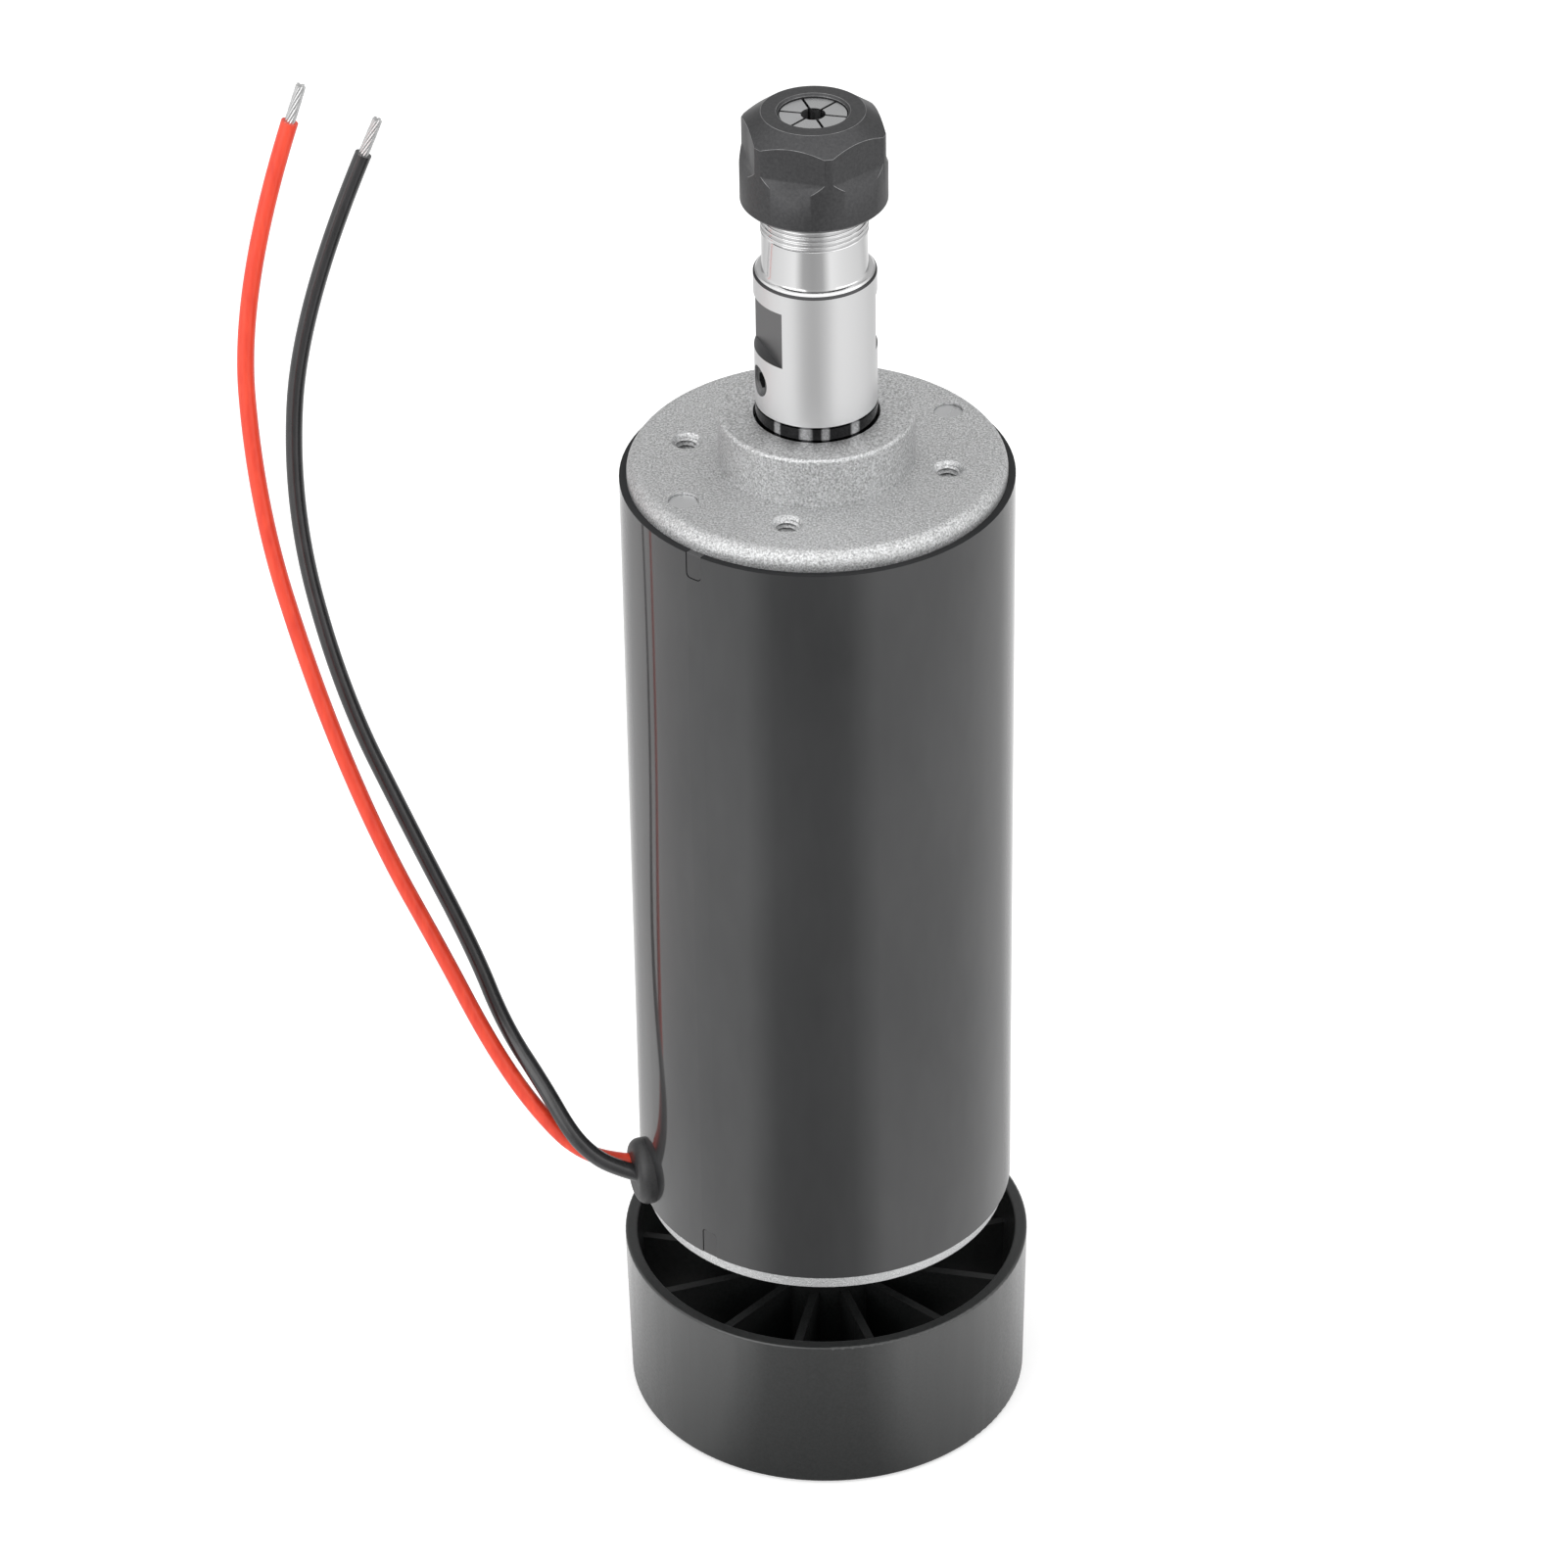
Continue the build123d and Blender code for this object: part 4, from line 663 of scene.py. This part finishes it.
def smooth_thread(chuck, foot, top):
    """Shades the thread's flanks as one surface, with no sharp steps between its rows."""
    for edge in chuck.data.edges:
        ends = [chuck.data.vertices[i].co for i in edge.vertices]
        if all(foot < end.z < top and math.hypot(end.x, end.y) > NECK_RADIUS - NOSE_THREAD_DEPTH
               for end in ends):
            edge.use_edge_sharp = False


def mark_milled(chuck, out, ledge):
    """Marks the faces of a milled flat and its ledge, so that the finish can dull them and paint them darker
    as shade.
    """
    attributes = chuck.data.attributes
    mark = attributes.get("milled") or attributes.new("milled", "FLOAT", "CORNER")
    for polygon in chuck.data.polygons:
        faces_out = polygon.normal.dot(out) > 0.99
        faces_up = polygon.normal.z > 0.99
        on_flat = faces_out and abs(polygon.center.dot(out) - FLAT_DISTANCE) < FACE_TOLERANCE
        on_ledge = faces_up and abs(polygon.center.z - ledge) < FACE_TOLERANCE
        if on_flat or on_ledge:
            for corner in polygon.loop_indices:
                mark.data[corner].value = 1


def add_hole_threads():
    """Thread in each of the four tapped holes of the front plate."""
    foot = foot_of("front_end_plate")
    mouth = foot + PLATE_SPIGOT + PLATE_THICKNESS - SCREW_MOUTH
    crest = SCREW_HOLE_RADIUS - SCREW_LINING
    rows = rows_between(crest, foot, mouth, SCREW_PITCH)
    rows += [(SCREW_HOLE_RADIUS, mouth), (SCREW_HOLE_RADIUS, foot)]
    thread = turned_ring("front_hole_threads", rows, SCREW_SIDES)
    cut_thread(thread, crest, SCREW_THREAD_DEPTH, SCREW_PITCH, foot, mouth)
    copies = [thread]
    for i in range(1, 4):
        only_select(thread)
        bpy.ops.object.duplicate()
        copies.append(bpy.context.object)
    for i, copy in enumerate(copies):
        azimuth = math.radians(SCREW_AZIMUTH + 90 * i - 90)
        copy.location = (SCREW_CIRCLE_RADIUS * math.cos(azimuth), SCREW_CIRCLE_RADIUS * math.sin(azimuth), 0)
        only_select(copy)
        bpy.ops.object.transform_apply(location=True)
    for copy in copies:
        copy.select_set(True)
    bpy.context.view_layer.objects.active = thread
    bpy.ops.object.join()
    bpy.ops.object.shade_smooth_by_angle(angle=math.radians(30))
    seat(thread, "housing", "cast")


def ease_edges():
    """Rounds the edges of the pieces that show."""
    eased_copy("collet_nut", "nut", "nut", 0.22 * MM, 3)
    eased_copy("front_end_plate", "housing", "cast", 0.3 * MM, 3)
    eased_copy("motor_can", "housing", "can", 0.16 * MM)
    eased_copy("locating_keys", "housing", "key", 0.12 * MM)
    eased_copy("rear_end_plate", "housing", "rear_cast", 0.25 * MM)
    eased_copy("fan_wheel", "rotor", "fan", 0.2 * MM)


# ------------------------------------------------------------------ leads
def add_lead(name, route, diameter, slot):
    """A free lead: one smooth spline through the route's points as control points."""
    data = bpy.data.curves.new(name, "CURVE")
    data.dimensions = "3D"
    data.bevel_depth = diameter / 2
    data.bevel_resolution = 8
    data.resolution_u = 24
    data.use_fill_caps = True
    spline = data.splines.new("NURBS")
    spline.points.add(len(route) - 1)
    for point, (x, y, z) in zip(spline.points, route):
        point.co = (x * MM, y * MM, z * MM, 1)
    spline.order_u = 3
    spline.use_endpoint_u = True
    lead = bpy.data.objects.new(name, data)
    bpy.context.scene.collection.objects.link(lead)
    data.materials.append(FINISHES[slot])
    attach(lead, "housing")
    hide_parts(name.replace("_insulation", ""))
    return lead


def add_tip(name, route, node_name):
    """Tinned strands twisted together at the end of a lead."""
    end = Vector(route[-1]) * MM
    direction = (end - Vector(route[-2]) * MM).normalized()
    side = direction.orthogonal().normalized()
    across = direction.cross(side)
    data = bpy.data.curves.new(name, "CURVE")
    data.dimensions = "3D"
    data.bevel_depth = STRAND_DIAMETER / 2
    data.bevel_resolution = 3
    data.use_fill_caps = True
    ring = TIP_DIAMETER / 2 - STRAND_DIAMETER / 2
    randomiser = random.Random(STRAND_SEED)
    for strand in range(STRANDS_ROUND + 1):
        spline = data.splines.new("NURBS")
        spline.points.add(STRAND_STEPS)
        reach = TIP_LENGTH * (1 - STRAND_UNEVENNESS * randomiser.random())
        for i, point in enumerate(spline.points):
            along = reach * i / STRAND_STEPS - LEAD_DIAMETER * STRAND_ROOT * (1 - i / STRAND_STEPS)
            angle = math.tau * (strand / STRANDS_ROUND + along / STRAND_LAY)
            radius = ring * (1 - STRAND_TAPER * i / STRAND_STEPS) if strand < STRANDS_ROUND else 0
            place = end + direction * along + (side * math.cos(angle) + across * math.sin(angle)) * radius
            point.co = (*place, 1)
            point.radius = 1 if strand < STRANDS_ROUND else CORE_THICKNESS
        spline.order_u = 3
        spline.use_endpoint_u = True
    tip = bpy.data.objects.new(name, data)
    bpy.context.scene.collection.objects.link(tip)
    only_select(tip)
    bpy.ops.object.convert(target="MESH")
    tip = bpy.context.object
    bpy.ops.object.shade_smooth()
    seat(tip, "housing", "tinned", node_name)
    return tip


def add_leads():
    red_tip = add_tip("red_lead_strands", RED_ROUTE, "red_lead_tip")
    black_tip = add_tip("black_lead_strands", BLACK_ROUTE, "black_lead_tip")
    add_lead("red_lead_insulation", RED_ROUTE, LEAD_DIAMETER, "red_wire")
    add_lead("black_lead_insulation", BLACK_ROUTE, LEAD_DIAMETER, "black_wire")


# ------------------------------------------------------------------ light, floor and backdrop
FLOOR_SIZE = 6
FLOOR_DROP = 0.2 * MM
FLOOR_GLOW = 0.45
FLOOR_WALL = 0.95
EVEN_LIGHT = 0.9
TENT_CENTRE = -5.0
# The tent's wall: degrees of azimuth to either side of TENT_CENTRE, and the grey there.
TENT_WALL = [(0, 0.44), (20, 0.5), (37, 1.12), (62, 1.0), (112, 0.85), (132, 0.7), (156, 0.95), (180, 1.15)]
# Its roof: degrees of elevation, and the grey there.
TENT_HEIGHT = [(0, 1.0), (40, 1.15), (62, 1.6), (90, 1.7)]
# Behind the spindle the tent falls to this share of its light, between these depths of a unit sphere.
TENT_BACK = 0.5
TENT_BACK_FROM = 0.35
TENT_BACK_TO = 0.75
# The wall passes into the roof between these shares of the quarter circle from level to overhead.
WALL_ENDS = 0.2
ROOF_STARTS = 0.45


def tree_node(tree, kind, **settings):
    made = tree.nodes.new(kind)
    for key, value in settings.items():
        setattr(made, key, value)
    return made


def grey_ramp(tree, stops, full):
    """Colour ramp with a grey at each stop. The last stop's place is full."""
    ramp = tree.nodes.new("ShaderNodeValToRGB")
    elements = ramp.color_ramp.elements
    while len(elements) < len(stops):
        elements.new(0.5)
    for element, (place, grey) in zip(elements, stops):
        element.position = place / full
        element.color = (grey, grey, grey, 1)
    return ramp


def tent_wall(tree, vector):
    """Brightness of the white tent round the spindle, by direction: dim in front, brighter beside it."""
    split = tree.nodes.new("ShaderNodeSeparateXYZ")
    tree.links.new(vector, split.inputs[0])
    flipped = tree_node(tree, "ShaderNodeMath", operation="MULTIPLY")
    flipped.inputs[1].default_value = -1
    tree.links.new(split.outputs["Y"], flipped.inputs[0])
    azimuth = tree_node(tree, "ShaderNodeMath", operation="ARCTAN2")
    tree.links.new(split.outputs["X"], azimuth.inputs[0])
    tree.links.new(flipped.outputs[0], azimuth.inputs[1])
    centred = tree_node(tree, "ShaderNodeMath", operation="SUBTRACT")
    centred.inputs[1].default_value = math.radians(TENT_CENTRE)
    tree.links.new(azimuth.outputs[0], centred.inputs[0])
    away = tree_node(tree, "ShaderNodeMath", operation="ABSOLUTE")
    tree.links.new(centred.outputs[0], away.inputs[0])
    share = tree_node(tree, "ShaderNodeMath", operation="DIVIDE")
    share.inputs[1].default_value = math.pi
    tree.links.new(away.outputs[0], share.inputs[0])
    ramp = grey_ramp(tree, TENT_WALL, 180)
    tree.links.new(share.outputs[0], ramp.inputs["Fac"])
    return ramp.outputs["Color"], split.outputs["Z"]


def add_world():
    """A white studio: even for soft light, and a tent of light and dim walls for what polish reflects."""
    world = bpy.data.worlds.new("studio")
    bpy.context.scene.world = world
    world.use_nodes = True
    tree = world.node_tree
    even = tree.nodes["Background"]
    even.inputs["Color"].default_value = (1, 1, 1, 1)
    even.inputs["Strength"].default_value = EVEN_LIGHT
    place = tree.nodes.new("ShaderNodeTexCoord")
    wall, up = tent_wall(tree, place.outputs["Generated"])
    rise = tree_node(tree, "ShaderNodeMath", operation="ARCSINE")
    tree.links.new(up, rise.inputs[0])
    quarter = tree_node(tree, "ShaderNodeMath", operation="DIVIDE")
    quarter.inputs[1].default_value = math.pi / 2
    tree.links.new(rise.outputs[0], quarter.inputs[0])
    heights = grey_ramp(tree, TENT_HEIGHT, 90)
    tree.links.new(quarter.outputs[0], heights.inputs["Fac"])
    above = tree_node(tree, "ShaderNodeMapRange")
    above.inputs["From Min"].default_value = WALL_ENDS
    above.inputs["From Max"].default_value = ROOF_STARTS
    tree.links.new(quarter.outputs[0], above.inputs["Value"])
    tent_colour = tree.nodes.new("ShaderNodeMixRGB")
    tree.links.new(above.outputs["Result"], tent_colour.inputs["Fac"])
    tree.links.new(wall, tent_colour.inputs["Color1"])
    tree.links.new(heights.outputs["Color"], tent_colour.inputs["Color2"])
    tent = tree.nodes.new("ShaderNodeBackground")
    tree.links.new(tent_colour.outputs["Color"], tent.inputs["Color"])
    back = tree.nodes.new("ShaderNodeSeparateXYZ")
    tree.links.new(place.outputs["Generated"], back.inputs[0])
    dimming = tree.nodes.new("ShaderNodeMapRange")
    dimming.inputs["From Min"].default_value = TENT_BACK_FROM
    dimming.inputs["From Max"].default_value = TENT_BACK_TO
    dimming.inputs["To Min"].default_value = 1.0
    dimming.inputs["To Max"].default_value = TENT_BACK
    tree.links.new(back.outputs["Y"], dimming.inputs["Value"])
    tree.links.new(dimming.outputs["Result"], tent.inputs["Strength"])
    shown = tree.nodes.new("ShaderNodeBackground")
    shown.inputs["Color"].default_value = (1, 1, 1, 1)
    path = tree.nodes.new("ShaderNodeLightPath")
    polish = tree.nodes.new("ShaderNodeMixShader")
    tree.links.new(path.outputs["Is Glossy Ray"], polish.inputs["Fac"])
    tree.links.new(even.outputs["Background"], polish.inputs[1])
    tree.links.new(tent.outputs["Background"], polish.inputs[2])
    mix = tree.nodes.new("ShaderNodeMixShader")
    tree.links.new(path.outputs["Is Camera Ray"], mix.inputs["Fac"])
    tree.links.new(polish.outputs["Shader"], mix.inputs[1])
    tree.links.new(shown.outputs["Background"], mix.inputs[2])
    tree.links.new(mix.outputs["Shader"], tree.nodes["World Output"].inputs["Surface"])


def add_floor():
    """White floor that keeps only the close shadow, and shows the tent's wall to polished metal."""
    bpy.ops.mesh.primitive_plane_add(size=FLOOR_SIZE, location=(0, 0, -FLOOR_DROP))
    floor = bpy.context.object
    floor.name = "studio_floor"
    material = new_material("studio_floor_white", (0.8, 0.8, 0.8), roughness=0.9, specular=0.1)
    tree = material.node_tree
    output = tree.nodes["Material Output"]
    glow = node(material, "ShaderNodeEmission", Color=(1, 1, 1, 1), Strength=FLOOR_GLOW)
    path = tree.nodes.new("ShaderNodeLightPath")
    tree.links.new(path.outputs["Is Camera Ray"], glow.inputs["Color"])
    both = tree.nodes.new("ShaderNodeAddShader")
    tree.links.new(principled(material).outputs["BSDF"], both.inputs[0])
    tree.links.new(glow.outputs["Emission"], both.inputs[1])
    place = tree.nodes.new("ShaderNodeTexCoord")
    wall, _ = tent_wall(tree, place.outputs["Object"])
    reflected = node(material, "ShaderNodeEmission", Strength=FLOOR_WALL)
    tree.links.new(wall, reflected.inputs["Color"])
    mix = tree.nodes.new("ShaderNodeMixShader")
    tree.links.new(path.outputs["Is Glossy Ray"], mix.inputs["Fac"])
    tree.links.new(both.outputs["Shader"], mix.inputs[1])
    tree.links.new(reflected.outputs["Emission"], mix.inputs[2])
    tree.links.new(mix.outputs["Shader"], output.inputs["Surface"])
    floor.data.materials.append(material)
    bpy.ops.object.select_all(action="DESELECT")


def add_lamps():
    for name, place, size, power in (("key_left", (-0.75, -0.8, 0.62), 1.1, 5.0),
                                     ("fill_right", (1.0, -0.4, 0.6), 1.2, 3.0)):
        bpy.ops.object.light_add(type="AREA", location=place)
        lamp = bpy.context.object
        lamp.name = name
        lamp.data.size = size
        lamp.data.energy = power
        lamp.rotation_euler = (Vector((0, 0, 0.1)) - Vector(place)).to_track_quat("-Z", "Y").to_euler()
    bpy.ops.object.select_all(action="DESELECT")


# ------------------------------------------------------------------ the scene
add_camera()
make_finishes()
dress_nodes()
add_leads()
add_chuck()
add_hole_threads()
ease_edges()
add_world()
add_floor()
add_lamps()

scene = bpy.context.scene
scene.view_settings.view_transform = "Standard"
